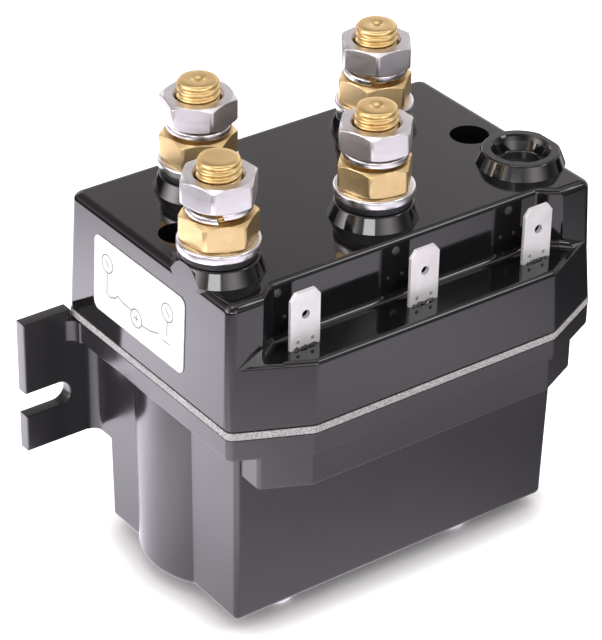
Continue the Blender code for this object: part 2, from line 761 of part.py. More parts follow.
def make_ears(parent):
    """A plate across the back with a slotted ear at each end, and what fillets it in."""
    front = BACK_FACE - EAR_THICKNESS
    outline = ear_outline()
    rings = [[(x, y, z) for x, z in outline] for y in (front, BACK_FACE)]
    tools = [helper(loft(rings), "ear_plate", parent)]

    top = FLANGE_TOP + EAR_SHOULDER
    bottom = top - EAR_HEIGHT
    half = ear_fillet(BODY_HALF_LENGTH + GAP / 2, BODY_BACK / 2, front)
    plan = half + [(-x, y) for x, y in reversed(half)]
    skirt = prism(plan, bottom, FLANGE_BOTTOM + GAP)
    tools.append(helper(skirt, "ear_skirt", parent))
    root = EAR_THICKNESS / 2
    wall = JOINT_HALF_LENGTH + FLANGE_PROUD
    for side in (-1, 1):
        plan = ear_fillet(wall, front - EAR_FILLET - root, front) + [(wall - root, front + root)]
        plan[0] = (wall - root, plan[0][1])
        web = prism([(side * x, y) for x, y in plan], FLANGE_BOTTOM, FLANGE_TOP)
        tools.append(helper(web, f"ear_web_{side + 2}", parent))
    return tools


def ear_fillet(wall, rear, front):
    """Plan of an end wall that runs back from rear and curves out into the face of an ear."""
    radius = EAR_FILLET
    centre_x, centre_y = wall + radius, front - radius
    plan = [(wall, rear)]
    for k in range(CORNER_STEPS + 2):
        angle = math.pi - math.pi / 2 * k / (CORNER_STEPS + 1)
        plan.append((centre_x + radius * math.cos(angle), centre_y + radius * math.sin(angle)))
    plan.append((centre_x, front + EAR_THICKNESS / 2))
    return plan


def hollow_base(base, parent):
    """The tray rebate, the coil space, the screw pillars and every hole of the base."""
    above = FLANGE_TOP + EAR_SHOULDER
    outline = housing_outline(FLANGE_PROUD - FLANGE_WALL)
    rebate = prism(outline, LEDGE_TOP, above)
    hollows = [helper(rebate, "tray_rebate", parent)]
    rings = [
        level(rounded(body_plan(-BODY_WALL - body_draft(z)), BODY_RADIUS), z)
        for z in (BASE_FLOOR, BAND_BOTTOM, above)
    ]
    hollows.append(helper(loft(rings), "body_hollow", parent))
    for side in (-1, 1):
        radius = BULGE_RADIUS - BODY_WALL
        low = radius - body_draft(BASE_FLOOR)
        profile = [(0.0, BASE_FLOOR), (low, BASE_FLOOR), (radius, BAND_BOTTOM)]
        profile += [(radius, LEDGE_TOP + GAP), (0.0, LEDGE_TOP + GAP)]
        tool = turned(profile, 2 * ROUND_STEPS, (side * COIL_X, COIL_Y))
        hollows.append(helper(tool, f"coil_hollow_{side + 2}", parent))
    combine_all(base, "base_hollows", hollows, "DIFFERENCE")

    pillars, bores = [], []
    for side in (-1, 1):
        pillar = SCREW_PILLAR_DIAMETER / 2
        low = FLANGE_TOP - SCREW_PILLAR_HEIGHT
        bm = box(
            side * SCREW_X - pillar if side > 0 else -JOINT_HALF_LENGTH,
            JOINT_HALF_LENGTH if side > 0 else side * SCREW_X + pillar,
            SCREW_Y - pillar,
            SCREW_Y + pillar,
            low,
            FLANGE_TOP,
        )
        pillars.append(helper(bm, f"screw_pillar_{side + 2}", parent))
        bore = disc(
            SCREW_SHANK_DIAMETER / 2 + FIT, low - GAP, above, centre=(side * SCREW_X, SCREW_Y)
        )
        bores.append(helper(bore, f"pillar_bore_{side + 2}", parent))
    for number, place in enumerate(foot_places(), 1):
        radius, low, high = FOOT_SHANK_DIAMETER / 2 + FIT, BASE_BOTTOM - GAP, BASE_FLOOR + GAP
        tool = disc(radius, low, high, SMALL_STEPS, place)
        bores.append(helper(tool, f"foot_bore_{number}", parent))
    combine_all(base, "screw_pillars", pillars, "UNION")
    combine_all(base, "screw_bores", bores, "DIFFERENCE")


def foot_places():
    return [(x, y) for y in (FOOT_FRONT_Y, FOOT_BACK_Y) for x in (FOOT_LEFT_X, FOOT_RIGHT_X)]


def make_label(parent):
    """A thin plate that lies on the drafted left end of the cover."""
    l, h = LABEL_LENGTH / 2, LABEL_HEIGHT / 2
    outline = rounded([(l, h), (-l, h), (-l, -h), (l, -h)], LABEL_RADIUS)
    bm = prism(outline, 0.0, LABEL_THICKNESS)
    face_x = -(COVER_LENGTH / 2 + DRAFT * LABEL_DROP + GAP)
    label = finish(bm, "terminal_label", white_print(), parent)
    label.matrix_local = (
        Matrix.Translation((face_x, LABEL_Y, -LABEL_DROP))
        @ Matrix.Rotation(DRAFT_ANGLE, 4, "Y")
        @ Matrix(((0, 0, -1, 0), (-1, 0, 0, 0), (0, 1, 0, 0), (0, 0, 0, 1)))
    )
    return label


def stud_profile():
    r = STUD_DIAMETER / 2
    return [
        (0.0, ROOF - GAP - STUD_HEAD_HEIGHT / 2),
        (r, ROOF - GAP - STUD_HEAD_HEIGHT / 2),
        (r, STUD_RISE - STUD_CHAMFER),
        (r - STUD_CHAMFER, STUD_RISE),
        (0.0, STUD_RISE),
    ]


def make_stud(number, place, parent):
    """A plain shank for the thread, over a square head that bears on the roof from below."""
    shank = turned(stud_profile(), SMALL_STEPS)
    stud = finish(shank, f"terminal_stud_{number}", brass(), parent, (*place, 0.0))
    w = STUD_HEAD_WIDTH / 2
    outline = rounded([(w, w), (-w, w), (-w, -w), (w, -w)], STUD_CHAMFER, 1)
    head = helper(
        prism(outline, STUD_HEAD_BOTTOM, ROOF - GAP), f"stud_head_{number}", parent, (*place, 0.0)
    )
    combine(stud, head, "UNION")
    return stud


def hex_nut(height):
    """A hexagonal nut with a plain bore and both faces turned to a cone at the corners."""
    bm = bmesh.new()
    flats, corner = NUT_FLATS / 2, NUT_FLATS / 2 / math.cos(math.pi / 6)
    steps = NUT_STEPS
    bore = (STUD_DIAMETER / 2 + GAP) / math.cos(math.pi / steps)
    loops = [[], [], [], [], [], []]
    for i in range(steps):
        angle = 2 * math.pi * i / steps
        within = (angle + math.pi / 6) % (math.pi / 3) - math.pi / 6
        side = flats / math.cos(within)
        drop = NUT_CHAMFER * (side - flats) / (corner - flats)
        face = flats * 0.96
        points = [
            (bore, 0.0),
            (face, 0.0),
            (side, drop + NUT_CHAMFER / 8),
            (side, height - drop - NUT_CHAMFER / 8),
            (face, height),
            (bore, height),
        ]
        for loop, (r, z) in zip(loops, points):
            loop.append(bm.verts.new((r * math.cos(angle), r * math.sin(angle), z)))
    for k, loop in enumerate(loops):
        other = loops[(k + 1) % len(loops)]
        for i in range(steps):
            j = (i + 1) % steps
            bm.faces.new((loop[i], loop[j], other[j], other[i]))
    return bm


def washer(diameter, thickness):
    inner, outer = STUD_DIAMETER / 2 + GAP, diameter / 2
    profile = [(inner, 0.0), (outer, 0.0), (outer, thickness), (inner, thickness)]
    return turned(profile, SMALL_STEPS)


def spring_washer():
    """A split ring whose ends stand one above the other."""
    inner, outer = STUD_DIAMETER / 2 + GAP, SPRING_WASHER_DIAMETER / 2
    slit = SPRING_WASHER_SLIT / outer
    rings = []
    for k in range(SMALL_STEPS + 1):
        part = k / SMALL_STEPS
        angle = slit / 2 + (2 * math.pi - slit) * part
        base = SPRING_WASHER_RISE * part
        top = base + SPRING_WASHER_THICKNESS
        c, s = math.cos(angle), math.sin(angle)
        corners = [(inner, base), (outer, base), (outer, top), (inner, top)]
        rings.append([(r * c, r * s, z) for r, z in corners])
    return loft(rings)


def make_stack(number, place, parent):
    """Stud, seal, flat washer, brass nut, spring washer and steel nut of one terminal."""
    brass_turn, steel_turn = BRASS_NUT_TURNS[number - 1], STEEL_NUT_TURNS[number - 1]
    make_stud(number, place, parent)
    seal, plate = washer(SEAL_DIAMETER, SEAL_HEIGHT), washer(WASHER_DIAMETER, WASHER_THICKNESS)
    spring_height = SPRING_WASHER_THICKNESS + SPRING_WASHER_RISE
    pieces = [
        ("stud_seal", seal, SEAL_HEIGHT, black_satin(), 0.0),
        ("flat_washer", plate, WASHER_THICKNESS, zinc_steel(), 0.0),
        ("brass_nut", hex_nut(NUT_HEIGHT), NUT_HEIGHT, brass(), brass_turn),
        ("spring_washer", spring_washer(), spring_height, zinc_steel(), SPLIT_TURNS[number - 1]),
        ("steel_nut", hex_nut(NUT_HEIGHT), NUT_HEIGHT, zinc_steel(), steel_turn),
    ]
    z = BOSS_HEIGHT + GAP
    for name, bm, height, surface, angle in pieces:
        piece = finish(bm, f"{name}_{number}", surface, parent, (*place, z))
        piece.rotation_euler.z = angle
        z += height + GAP


def make_tab(number, x, parent):
    """A blade tab on the shelf, with shoulders over a narrower leg that passes through it."""
    w, leg = TAB_WIDTH / 2, TAB_LEG_WIDTH / 2
    c, low = TAB_CHAMFER, -TAB_LEG_LENGTH
    foot = GAP
    right = [(leg, low), (leg, foot), (w, foot), (w, TAB_RISE - c), (w - c * 0.8, TAB_RISE)]
    outline = right + [(-px, z) for px, z in reversed(right)]
    half = TAB_THICKNESS / 2
    bm = loft([[(px, y, z) for px, z in outline] for y in (-half, half)])
    place = (x, TAB_Y, -SHELF_DROP)
    tab = finish(bm, f"blade_tab_{number}", tinned(), parent, place)
    hole = disc(TAB_HOLE_DIAMETER / 2, -TAB_THICKNESS, TAB_THICKNESS, 12)
    bmesh.ops.rotate(hole, verts=hole.verts, matrix=Matrix.Rotation(math.pi / 2, 3, "X"))
    bmesh.ops.translate(hole, verts=hole.verts, vec=(0.0, 0.0, TAB_RISE - TAB_HOLE_FROM_TOP))
    combine(tab, helper(hole, f"tab_hole_{number}", parent, place), "DIFFERENCE")
    return tab


def make_cover_screw(side, parent):
    """A socket head screw, sunk in its well and biting into the base's pillar."""
    head, shank = SCREW_HEAD_DIAMETER / 2, SCREW_SHANK_DIAMETER / 2
    seat = -SCREW_WELL_DEPTH + GAP
    end = FLANGE_TOP - SCREW_BITE
    edge = SCREW_HEAD_HEIGHT / 8
    profile = [
        (0.0, end),
        (shank, end),
        (shank, seat),
        (head, seat),
        (head, seat + SCREW_HEAD_HEIGHT - edge),
        (head - edge, seat + SCREW_HEAD_HEIGHT),
        (0.0, seat + SCREW_HEAD_HEIGHT),
    ]
    place = (side * SCREW_X, SCREW_Y, 0.0)
    name = "left" if side < 0 else "right"
    bm = turned(profile, SMALL_STEPS)
    screw = finish(bm, f"cover_screw_{name}", zinc_steel(), parent, place)
    socket = disc(
        SCREW_SOCKET_FLATS / 2 / math.cos(math.pi / 6),
        seat + SCREW_HEAD_HEIGHT - SCREW_SOCKET_DEPTH,
        seat + SCREW_HEAD_HEIGHT + GAP,
        6,
    )
    combine(screw, helper(socket, f"socket_{name}", parent, place), "DIFFERENCE")
    return screw


def make_base_screw(number, place, parent):
    """A flat round head under the base, with its shank up through the floor into the yoke."""
    head, shank = FOOT_HEAD_DIAMETER / 2, FOOT_SHANK_DIAMETER / 2
    seat = BASE_BOTTOM - GAP
    edge = FOOT_HEAD_HEIGHT / 4
    profile = [
        (0.0, FOOT_BOTTOM),
        (head - edge, FOOT_BOTTOM),
        (head, FOOT_BOTTOM + edge),
        (head, seat),
        (shank, seat),
        (shank, YOKE_BOTTOM + YOKE_THICKNESS - GAP),
        (0.0, YOKE_BOTTOM + YOKE_THICKNESS - GAP),
    ]
    bm = turned(profile, SMALL_STEPS)
    return finish(bm, f"base_screw_{number}", zinc_steel(), parent, (*place, 0.0))


def make_yoke(unit, parent):
    """A folded steel frame round one coil, with a tongue that its front screw holds."""
    side = -1 if unit == 1 else 1
    x, half, out = side * COIL_X, YOKE_WIDTH / 2, YOKE_SPREAD / 2
    t = YOKE_THICKNESS
    top = YOKE_TOP - YOKE_THICKNESS - GAP
    section = [
        (COIL_Y - out, YOKE_BOTTOM),
        (COIL_Y + out, YOKE_BOTTOM),
        (COIL_Y + out, top),
        (COIL_Y + out - t, top),
        (COIL_Y + out - t, YOKE_BOTTOM + t),
        (COIL_Y - out + t, YOKE_BOTTOM + t),
        (COIL_Y - out + t, top),
        (COIL_Y - out, top),
    ]
    bm = loft([[(px, y, z) for y, z in section] for px in (x - half, x + half)])
    yoke = finish(bm, f"yoke_{unit}", soft_iron(), parent)
    tongue_end = BODY_WALL + FLOOR_DRAW + FIT - BODY_FRONT
    tongue = box(
        x - half, x + half, tongue_end, COIL_Y - out + t / 2, YOKE_BOTTOM, YOKE_BOTTOM + t
    )
    combine(yoke, helper(tongue, f"yoke_tongue_{unit}", parent), "UNION")
    foot_x = FOOT_LEFT_X if unit == 1 else FOOT_RIGHT_X
    for number, y in enumerate((FOOT_FRONT_Y, FOOT_BACK_Y), 1):
        radius = FOOT_SHANK_DIAMETER / 2 + FIT
        tool = disc(radius, YOKE_BOTTOM - GAP, YOKE_BOTTOM + t + GAP, SMALL_STEPS, (foot_x, y))
        combine(yoke, helper(tool, f"yoke_hole_{unit}_{number}", parent), "DIFFERENCE")
    plate = box(x - half, x + half, COIL_Y - out, COIL_Y + out, YOKE_TOP - t, YOKE_TOP)
    plate = finish(plate, f"yoke_plate_{unit}", soft_iron(), parent)
    hole = disc(PLUNGER_DIAMETER / 2 + FIT, YOKE_TOP - 2 * t, YOKE_TOP + t, centre=(x, COIL_Y))
    combine(plate, helper(hole, f"plate_hole_{unit}", parent), "DIFFERENCE")


def make_coil(unit, parent):
    """Bobbin, winding and fixed core of one solenoid."""
    place = ((-1 if unit == 1 else 1) * COIL_X, COIL_Y, 0.0)
    bottom = YOKE_BOTTOM + YOKE_THICKNESS + GAP
    top = YOKE_TOP - YOKE_THICKNESS - GAP
    bore, tube = PLUNGER_DIAMETER / 2 + FIT, BOBBIN_TUBE_DIAMETER / 2
    rim, flange = BOBBIN_DIAMETER / 2, BOBBIN_FLANGE
    profile = [
        (bore, bottom),
        (rim, bottom),
        (rim, bottom + flange),
        (tube, bottom + flange),
        (tube, top - flange),
        (rim, top - flange),
        (rim, top),
        (bore, top),
    ]
    finish(turned(profile, SMALL_STEPS), f"bobbin_{unit}", cream_plastic(), parent, place)
    low, high = bottom + flange + GAP, top - flange - GAP
    inner, outer = tube + GAP, WINDING_DIAMETER / 2
    profile = [(inner, low), (outer, low), (outer, high), (inner, high)]
    finish(turned(profile, SMALL_STEPS), f"winding_{unit}", copper(), parent, place)
    guide, core = ROD_DIAMETER / 2 + FIT, PLUNGER_DIAMETER / 2
    seat = YOKE_TOP + GAP
    profile = [
        (guide, CORE_BOTTOM),
        (core, CORE_BOTTOM),
        (core, seat),
        (CORE_COLLAR_DIAMETER / 2, seat),
        (CORE_COLLAR_DIAMETER / 2, seat + CORE_COLLAR_HEIGHT),
        (guide, seat + CORE_COLLAR_HEIGHT),
    ]
    finish(turned(profile, SMALL_STEPS), f"fixed_core_{unit}", soft_iron(), parent, place)


def make_armature(unit, parent):
    """The moving group of one solenoid, hung from an empty on its stroke axis."""
    axis = bpy.data.objects.new(f"stroke_axis_{unit}", None)
    bpy.context.scene.collection.objects.link(axis)
    axis.parent = parent
    axis.location = ((-1 if unit == 1 else 1) * COIL_X, COIL_Y, 0.0)
    body, rod = PLUNGER_DIAMETER / 2, ROD_DIAMETER / 2
    tip = BAR_TOP + ROD_TIP
    profile = [
        (0.0, PLUNGER_BOTTOM),
        (body, PLUNGER_BOTTOM),
        (body, PLUNGER_TOP),
        (rod, PLUNGER_TOP),
        (rod, tip),
        (0.0, tip),
    ]
    finish(turned(profile, SMALL_STEPS), f"plunger_{unit}", soft_iron(), axis)
    bore, neck, collar = rod + GAP, CARRIER_NECK_DIAMETER / 2, CARRIER_DIAMETER / 2
    shoulder = BAR_BOTTOM - GAP
    profile = [
        (bore, shoulder - CARRIER_HEIGHT),
        (collar, shoulder - CARRIER_HEIGHT),
        (collar, shoulder),
        (neck, shoulder),
        (neck, BAR_TOP),
        (bore, BAR_TOP),
    ]
    finish(turned(profile, SMALL_STEPS), f"contact_carrier_{unit}", cream_plastic(), axis)
    front, back, w = BAR_FRONT - COIL_Y, BAR_BACK - COIL_Y, BAR_WIDTH / 2
    outline = rounded([(w, back), (-w, back), (-w, front), (w, front)], STRIP_THICKNESS)
    bar = finish(prism(outline, BAR_BOTTOM, BAR_TOP), f"contact_bar_{unit}", copper(), axis)
    hole = disc(neck + GAP, BAR_BOTTOM - GAP, BAR_TOP + GAP, SMALL_STEPS)
    combine(bar, helper(hole, f"bar_hole_{unit}", axis), "DIFFERENCE")
    make_return_spring(unit, axis)


def make_return_spring(unit, axis):
    """A compression spring between the bar and the roof, one closed wire along a helix."""
    wire = SPRING_WIRE / 2
    radius = SPRING_DIAMETER / 2 - wire
    low, high = BAR_TOP + GAP + wire, ROOF - GAP - wire
    steps = int(SPRING_TURNS * NUT_STEPS)
    rings = []
    for k in range(steps + 1):
        part = k / steps
        angle = 2 * math.pi * SPRING_TURNS * part
        z = low + (high - low) * part
        along = Vector((math.cos(angle), math.sin(angle), 0.0))
        ring = []
        for i in range(5):
            around = 2 * math.pi * i / 5
            centre_line = Vector((0.0, 0.0, z + wire * math.sin(around)))
            ring.append(tuple(along * (radius + wire * math.cos(around)) + centre_line))
        rings.append(ring)
    finish(loft(rings), f"return_spring_{unit}", zinc_steel(), axis)


def pad(name, target, place, bottom, top, parent):
    tool = disc(PAD_DIAMETER / 2, bottom, top, SMALL_STEPS, place)
    combine(target, helper(tool, name, parent), "UNION")


def make_positive_bus(parent):
    """A straight strip under the front middle stud, with one upper contact for each bar."""
    half = COIL_X + STRIP_WIDTH / 2
    y, w, low = FRONT_ROW_Y, STRIP_WIDTH / 2, UPPER_STRIP_TOP - STRIP_THICKNESS
    bm = box(-half, half, y - w, y + w, low, UPPER_STRIP_TOP)
    bus = finish(bm, "positive_bus", copper(), parent)
    for unit, x in ((1, -COIL_X), (2, COIL_X)):
        pad(f"positive_pad_{unit}", bus, (x, y), UPPER_PAD_FACE, low + GAP, parent)


def make_negative_bus(parent):
    """A folded strip from the front left stud down to the lower front contacts."""
    t, w, y = STRIP_THICKNESS, STRIP_WIDTH / 2, FRONT_ROW_Y
    left = -FRONT_ROW_X - w
    flange_end = -FRONT_ROW_X + w
    far = COIL_X + w
    section = [
        (left, LOWER_STRIP_BOTTOM),
        (far, LOWER_STRIP_BOTTOM),
        (far, LOWER_STRIP_TOP),
        (left + t, LOWER_STRIP_TOP),
        (left + t, UPPER_STRIP_TOP - t),
        (flange_end, UPPER_STRIP_TOP - t),
        (flange_end, UPPER_STRIP_TOP),
        (left, UPPER_STRIP_TOP),
    ]
    bm = loft([[(x, py, z) for x, z in section] for py in (y - w, y + w)])
    bus = finish(bm, "negative_bus", copper(), parent)
    for unit, x in ((1, -COIL_X), (2, COIL_X)):
        pad(f"negative_pad_{unit}", bus, (x, y), LOWER_STRIP_TOP - GAP, LOWER_PAD_FACE, parent)


def make_motor_link(unit, parent):
    """A folded strip under a motor stud that reaches round the end of the bar to both sides."""
    side = -1 if unit == 1 else 1
    x, w, t = side * BACK_ROW_X, STRIP_WIDTH / 2, STRIP_THICKNESS
    near = BACK_ROW_Y - w
    back = BAR_BACK + 2 * GAP
    section = [
        (near, LOWER_STRIP_BOTTOM),
        (back + t, LOWER_STRIP_BOTTOM),
        (back + t, UPPER_STRIP_TOP),
        (near, UPPER_STRIP_TOP),
        (near, UPPER_STRIP_TOP - t),
        (back, UPPER_STRIP_TOP - t),
        (back, LOWER_STRIP_TOP),
        (near, LOWER_STRIP_TOP),
    ]
    bm = loft([[(px, y, z) for y, z in section] for px in (x - w, x + w)])
    link = finish(bm, f"motor_link_{unit}", copper(), parent)
    place = (side * (BACK_ROW_X + COIL_X) / 2, LINK_PAD_Y)
    upper = UPPER_STRIP_TOP - t
    pad(f"link_upper_pad_{unit}", link, place, UPPER_PAD_FACE, upper + GAP, parent)
    pad(f"link_lower_pad_{unit}", link, place, LOWER_STRIP_TOP - GAP, LOWER_PAD_FACE, parent)


def make_tray(parent):
    """The insulating tray on the base's ledge, with ribs that carry the lower strips."""
    grow = FLANGE_PROUD - FLANGE_WALL - GAP
    outline = housing_outline(grow)
    tray = finish(prism(outline, TRAY_BOTTOM, TRAY_TOP), "contact_tray", cream_plastic(), parent)
    rib, top, low = TRAY_RIB_WIDTH / 2, LOWER_STRIP_BOTTOM - GAP, TRAY_BOTTOM + GAP
    half = COIL_X + STRIP_WIDTH / 2
    front = box(-half, half, FRONT_ROW_Y - rib, FRONT_ROW_Y + rib, low, top)
    combine(tray, helper(front, "tray_front_rib", parent), "UNION")
    for unit, side in ((1, -1), (2, 1)):
        x = side * BACK_ROW_X
        post = box(x - rib, x + rib, BACK_ROW_Y - rib, BACK_ROW_Y + rib, low, top)
        combine(tray, helper(post, f"tray_post_{unit}", parent), "UNION")
        rod = ROD_DIAMETER / 2 + 3 * GAP
        place = (side * COIL_X, COIL_Y)
        hole = disc(rod, TRAY_BOTTOM - GAP, TRAY_TOP + GAP, SMALL_STEPS, place)
        combine(tray, helper(hole, f"tray_hole_{unit}", parent), "DIFFERENCE")
        pillar = SCREW_PILLAR_DIAMETER / 2 + GAP
        inner, outer = side * (SCREW_X - pillar), side * JOINT_HALF_LENGTH
        notch = box(
            min(inner, outer),
            max(inner, outer),
            SCREW_Y - pillar,
            SCREW_Y + pillar,
            TRAY_BOTTOM - GAP,
            TRAY_TOP + GAP,
        )
        combine(tray, helper(notch, f"tray_notch_{unit}", parent), "DIFFERENCE")


def main():
    clear_scene()
    frame = bpy.data.objects.new("contactor_frame", None)
    bpy.context.scene.collection.objects.link(frame)
    frame.location = (0.0, (FRONT_FACE - BACK_FACE) / 2, -FOOT_BOTTOM)

    make_cover(frame)
    make_gasket(frame)
    make_base(frame)
    make_label(frame)
    for number, place in enumerate(STUD_PLACES, 1):
        make_stack(number, place, frame)
    for number, x in enumerate(tab_places(), 1):
        make_tab(number, x, frame)
    for side in (-1, 1):
        make_cover_screw(side, frame)
    for number, place in enumerate(foot_places(), 1):
        make_base_screw(number, place, frame)
    for unit in (1, 2):
        make_yoke(unit, frame)
        make_coil(unit, frame)
        make_armature(unit, frame)
        make_motor_link(unit, frame)
    make_positive_bus(frame)
    make_negative_bus(frame)
    make_tray(frame)


main()
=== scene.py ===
from math import acos, atan, atan2, copysign, cos, hypot, pi, radians, sin, sqrt, tan

import bmesh
import bpy
from mathutils import Matrix, Vector, noise


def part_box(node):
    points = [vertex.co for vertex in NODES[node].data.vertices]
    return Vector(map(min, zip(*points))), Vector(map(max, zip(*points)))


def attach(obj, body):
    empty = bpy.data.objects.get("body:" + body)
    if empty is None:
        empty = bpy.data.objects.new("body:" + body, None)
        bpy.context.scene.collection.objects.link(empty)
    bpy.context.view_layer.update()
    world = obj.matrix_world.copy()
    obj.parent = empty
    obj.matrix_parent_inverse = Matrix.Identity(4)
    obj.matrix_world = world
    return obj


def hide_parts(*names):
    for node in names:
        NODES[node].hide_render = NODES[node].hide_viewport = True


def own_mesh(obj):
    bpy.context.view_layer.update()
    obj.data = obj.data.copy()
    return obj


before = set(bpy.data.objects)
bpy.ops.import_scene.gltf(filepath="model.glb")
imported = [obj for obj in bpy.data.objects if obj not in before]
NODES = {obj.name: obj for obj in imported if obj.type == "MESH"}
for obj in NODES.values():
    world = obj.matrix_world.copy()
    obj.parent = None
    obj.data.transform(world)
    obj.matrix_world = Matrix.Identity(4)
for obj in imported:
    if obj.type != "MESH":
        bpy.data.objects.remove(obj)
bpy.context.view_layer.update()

# Shapes are drawn in millimetres from the middle of the cover's flat top, and moved by SHIFT
MM = 0.001
SHIFT = Vector((0.0, 3.175, 72.3))
HOUSING = "housing"
SIDES = (-1, 1)
ROUND = 96
TURN, QUARTER = 2 * pi, pi / 2
ABOVE = 6.0  # the top of the tools that cut the cover from above

# Sizes read from the photograph; a few differ a little from the CAD's. The cover and the gasket:
LENGTH, WIDTH, HEIGHT = 80.0, 50.2, 23.95
WALL, ROOF = 2.2, -2.5
DRAFT = tan(radians(2.0))
CORNER, TOP_EDGE = 1.7, 1.5
JOINT_X = LENGTH / 2 + DRAFT * HEIGHT
JOINT_Y = WIDTH / 2 + DRAFT * HEIGHT
SHELF_REACH, SHELF_LENGTH, SHELF_DROP = 6.4, 53.8, 11.5
SHELF_CORNER, SHELF_EDGE, SHELF_LEAN = 1.4, 1.0, 0.7
# The plane of the facets at the shelf's ends crosses the shelf's top at FACET_AT
FACET_AT, FACET_RISE, FACET_X = (34.87, -27.65), (0.452, 0.46), 31.4
RECESS_DEPTH, RECESS_LENGTH, RECESS_FLARE = 2.8, 58.6, 3.8
RECESS_SPREAD, RECESS_FOOT, RECESS_LIP = 0.98, 1.25, 1.0
RECESS_WALL = WIDTH / 2 - RECESS_DEPTH
GASKET_TOP, GASKET_BOTTOM = -24.33, -25.8

# The base, down from the gasket
BASE_DRAFT = tan(radians(0.8))
FLANGE_TOP, FLANGE_BOTTOM = -25.9, -30.2
BAND_BOTTOM, BASE_BOTTOM, BASE_FLOOR = -37.3, -69.8, -67.8
BASE_EDGE, BASE_CORNER, BASE_WALL = 1.3, 1.1, 2.0
BODY_X = JOINT_X - 4.34
BODY_FRONT, BODY_BACK = JOINT_Y - 3.84, 20.2
BULGE, COIL_Y = 16.5, 1.3
COIL_X = BODY_X + 2.9 - BULGE
BACK_FACE, EAR_THICKNESS = JOINT_Y + 0.5, 2.8
EAR_OUT, EAR_TOP = 51.7, FLANGE_TOP + 2.0
EAR_BOTTOM = EAR_TOP - 27.4
SLOT_DEPTH, SLOT_RADIUS, SLOT_Z = 9.5, 2.5, EAR_TOP - 17.35

# What stands on the cover and goes through it
FRONT_ROW, BACK_ROW = -12.1, 13.9
STUDS = [(-33.3, FRONT_ROW), (0.0, FRONT_ROW), (-19.8, BACK_ROW), (19.8, BACK_ROW)]
BLANK = (33.8, FRONT_ROW)
SCREWS = [(-32.6, 1.2), (32.6, 1.2)]
TAB_X, TAB_Y = [-25.5, 0.3, 26.1], -26.5
FOOT_X = (13.3 - BODY_X, BODY_X - 18.7)
FOOT_Y = (5.7 - BODY_FRONT, BODY_BACK - 9.2)
FOOT_BOTTOM = -72.3

# The terminal stacks, bottom and top of each piece, with a gap of 0.04 between them
SEAL, FLAT_WASHER = (2.92, 4.12), (4.16, 6.02)
BRASS_NUT, SPLIT_WASHER, STEEL_NUT = (6.06, 11.12), (11.16, 13.34), (13.38, 18.3)
NUT_FLATS, NUT_BORE = 6.25, 4.16  # half of the width across flats, and the bore's radius
WASHER_BORE = 4.2
THREAD_PITCH, THREAD_RADIUS, THREAD_DEPTH, THREAD_TOP, THREAD_LOW = 1.25, 3.93, 0.46, 21.28, 3.0
THREAD_CHAMFER = 0.75
# How far each stud's brass nut, split washer and steel nut are turned, in degrees
TURNS = [(5.5, 238.5, 17.5), (16.1, 70.0, 17.5), (1.9, 85.0, 45.9), (10.8, 228.5, 25.5)]

# The label on the left end: its centre, half of its size, and what is printed, as (y, z)
LABEL_Y, LABEL_Z, LABEL_HALF = 2.35, -12.1, (14.35, 7.575)
LINE_HALF, CIRCLE_RADIUS = 0.11, 1.75
CIRCLES = [(12.35, -9.0), (2.8, -15.5), (-6.9, -9.5)]
LINES = [
    [(12.35, -10.8), (12.35, -15.2), (11.2, -15.3), (9.7, -14.8), (8.8, -13.9), (7.3, -14.4),
     (4.5, -14.6)],
    [(1.2, -16.1), (-1.8, -15.8), (-4.4, -14.9)],
    [(-6.9, -11.3), (-6.9, -14.3)],
    [(-5.6, -15.6), (-7.9, -15.6)],
    [(3.5, -15.5), (2.1, -15.5)],
    [(2.8, -14.8), (2.8, -16.2)],
    [(13.0, -8.4), (11.7, -9.6)],
    [(-6.2, -8.9), (-7.6, -10.1)],
]

# Patches of painted light on the table, which glow only in reflections in place of studio lights,
# as (x, y, half width, half depth, strength), in millimetres
GLOW = [
    (-5.0, -120.0, 130.0, 90.0, 1.15),
    (70.0, -120.0, 60.0, 60.0, 0.6),
    (0.0, -260.0, 200.0, 90.0, 1.6),
    (-95.0, 88.0, 75.0, 90.0, 3.7),
    (-60.0, 34.0, 35.0, 40.0, 1.0),
    (-76.0, -2.0, 30.0, 25.0, 1.0),
    (-62.0, -56.0, 32.0, 30.0, 1.8),
    (-125.0, -35.0, 55.0, 50.0, 2.6),
    (-105.0, -95.0, 80.0, 70.0, 1.4),
    (0.0, 170.0, 100.0, 90.0, 2.0),
    (400.0, 0.0, 150.0, 200.0, 1.2),
    (-8.0, 0.0, 58.0, 50.0, 1.3),
]
GLOW_FALL = -1.4
# The studio's walls and ceiling, as (x, y, z, strength)
SKY = [
    (0.0, 0.0, 1.0, 1.5),
    (-0.96, 0.22, 0.12, 6.5),
    (0.0, -0.98, 0.2, 3.0),
    (0.1, 0.97, 0.2, 1.7),
    (0.8, 0.55, 0.2, 1.5),
    (-0.7, -0.7, 0.12, 0.6),
    (-0.7, 0.2, 0.68, 1.5),
    (0.85, 0.0, 0.52, 0.4),
    (0.95, -0.25, 0.15, 0.5),
]
SKY_BASE, SKY_SHARPNESS = 0.02, 12.0
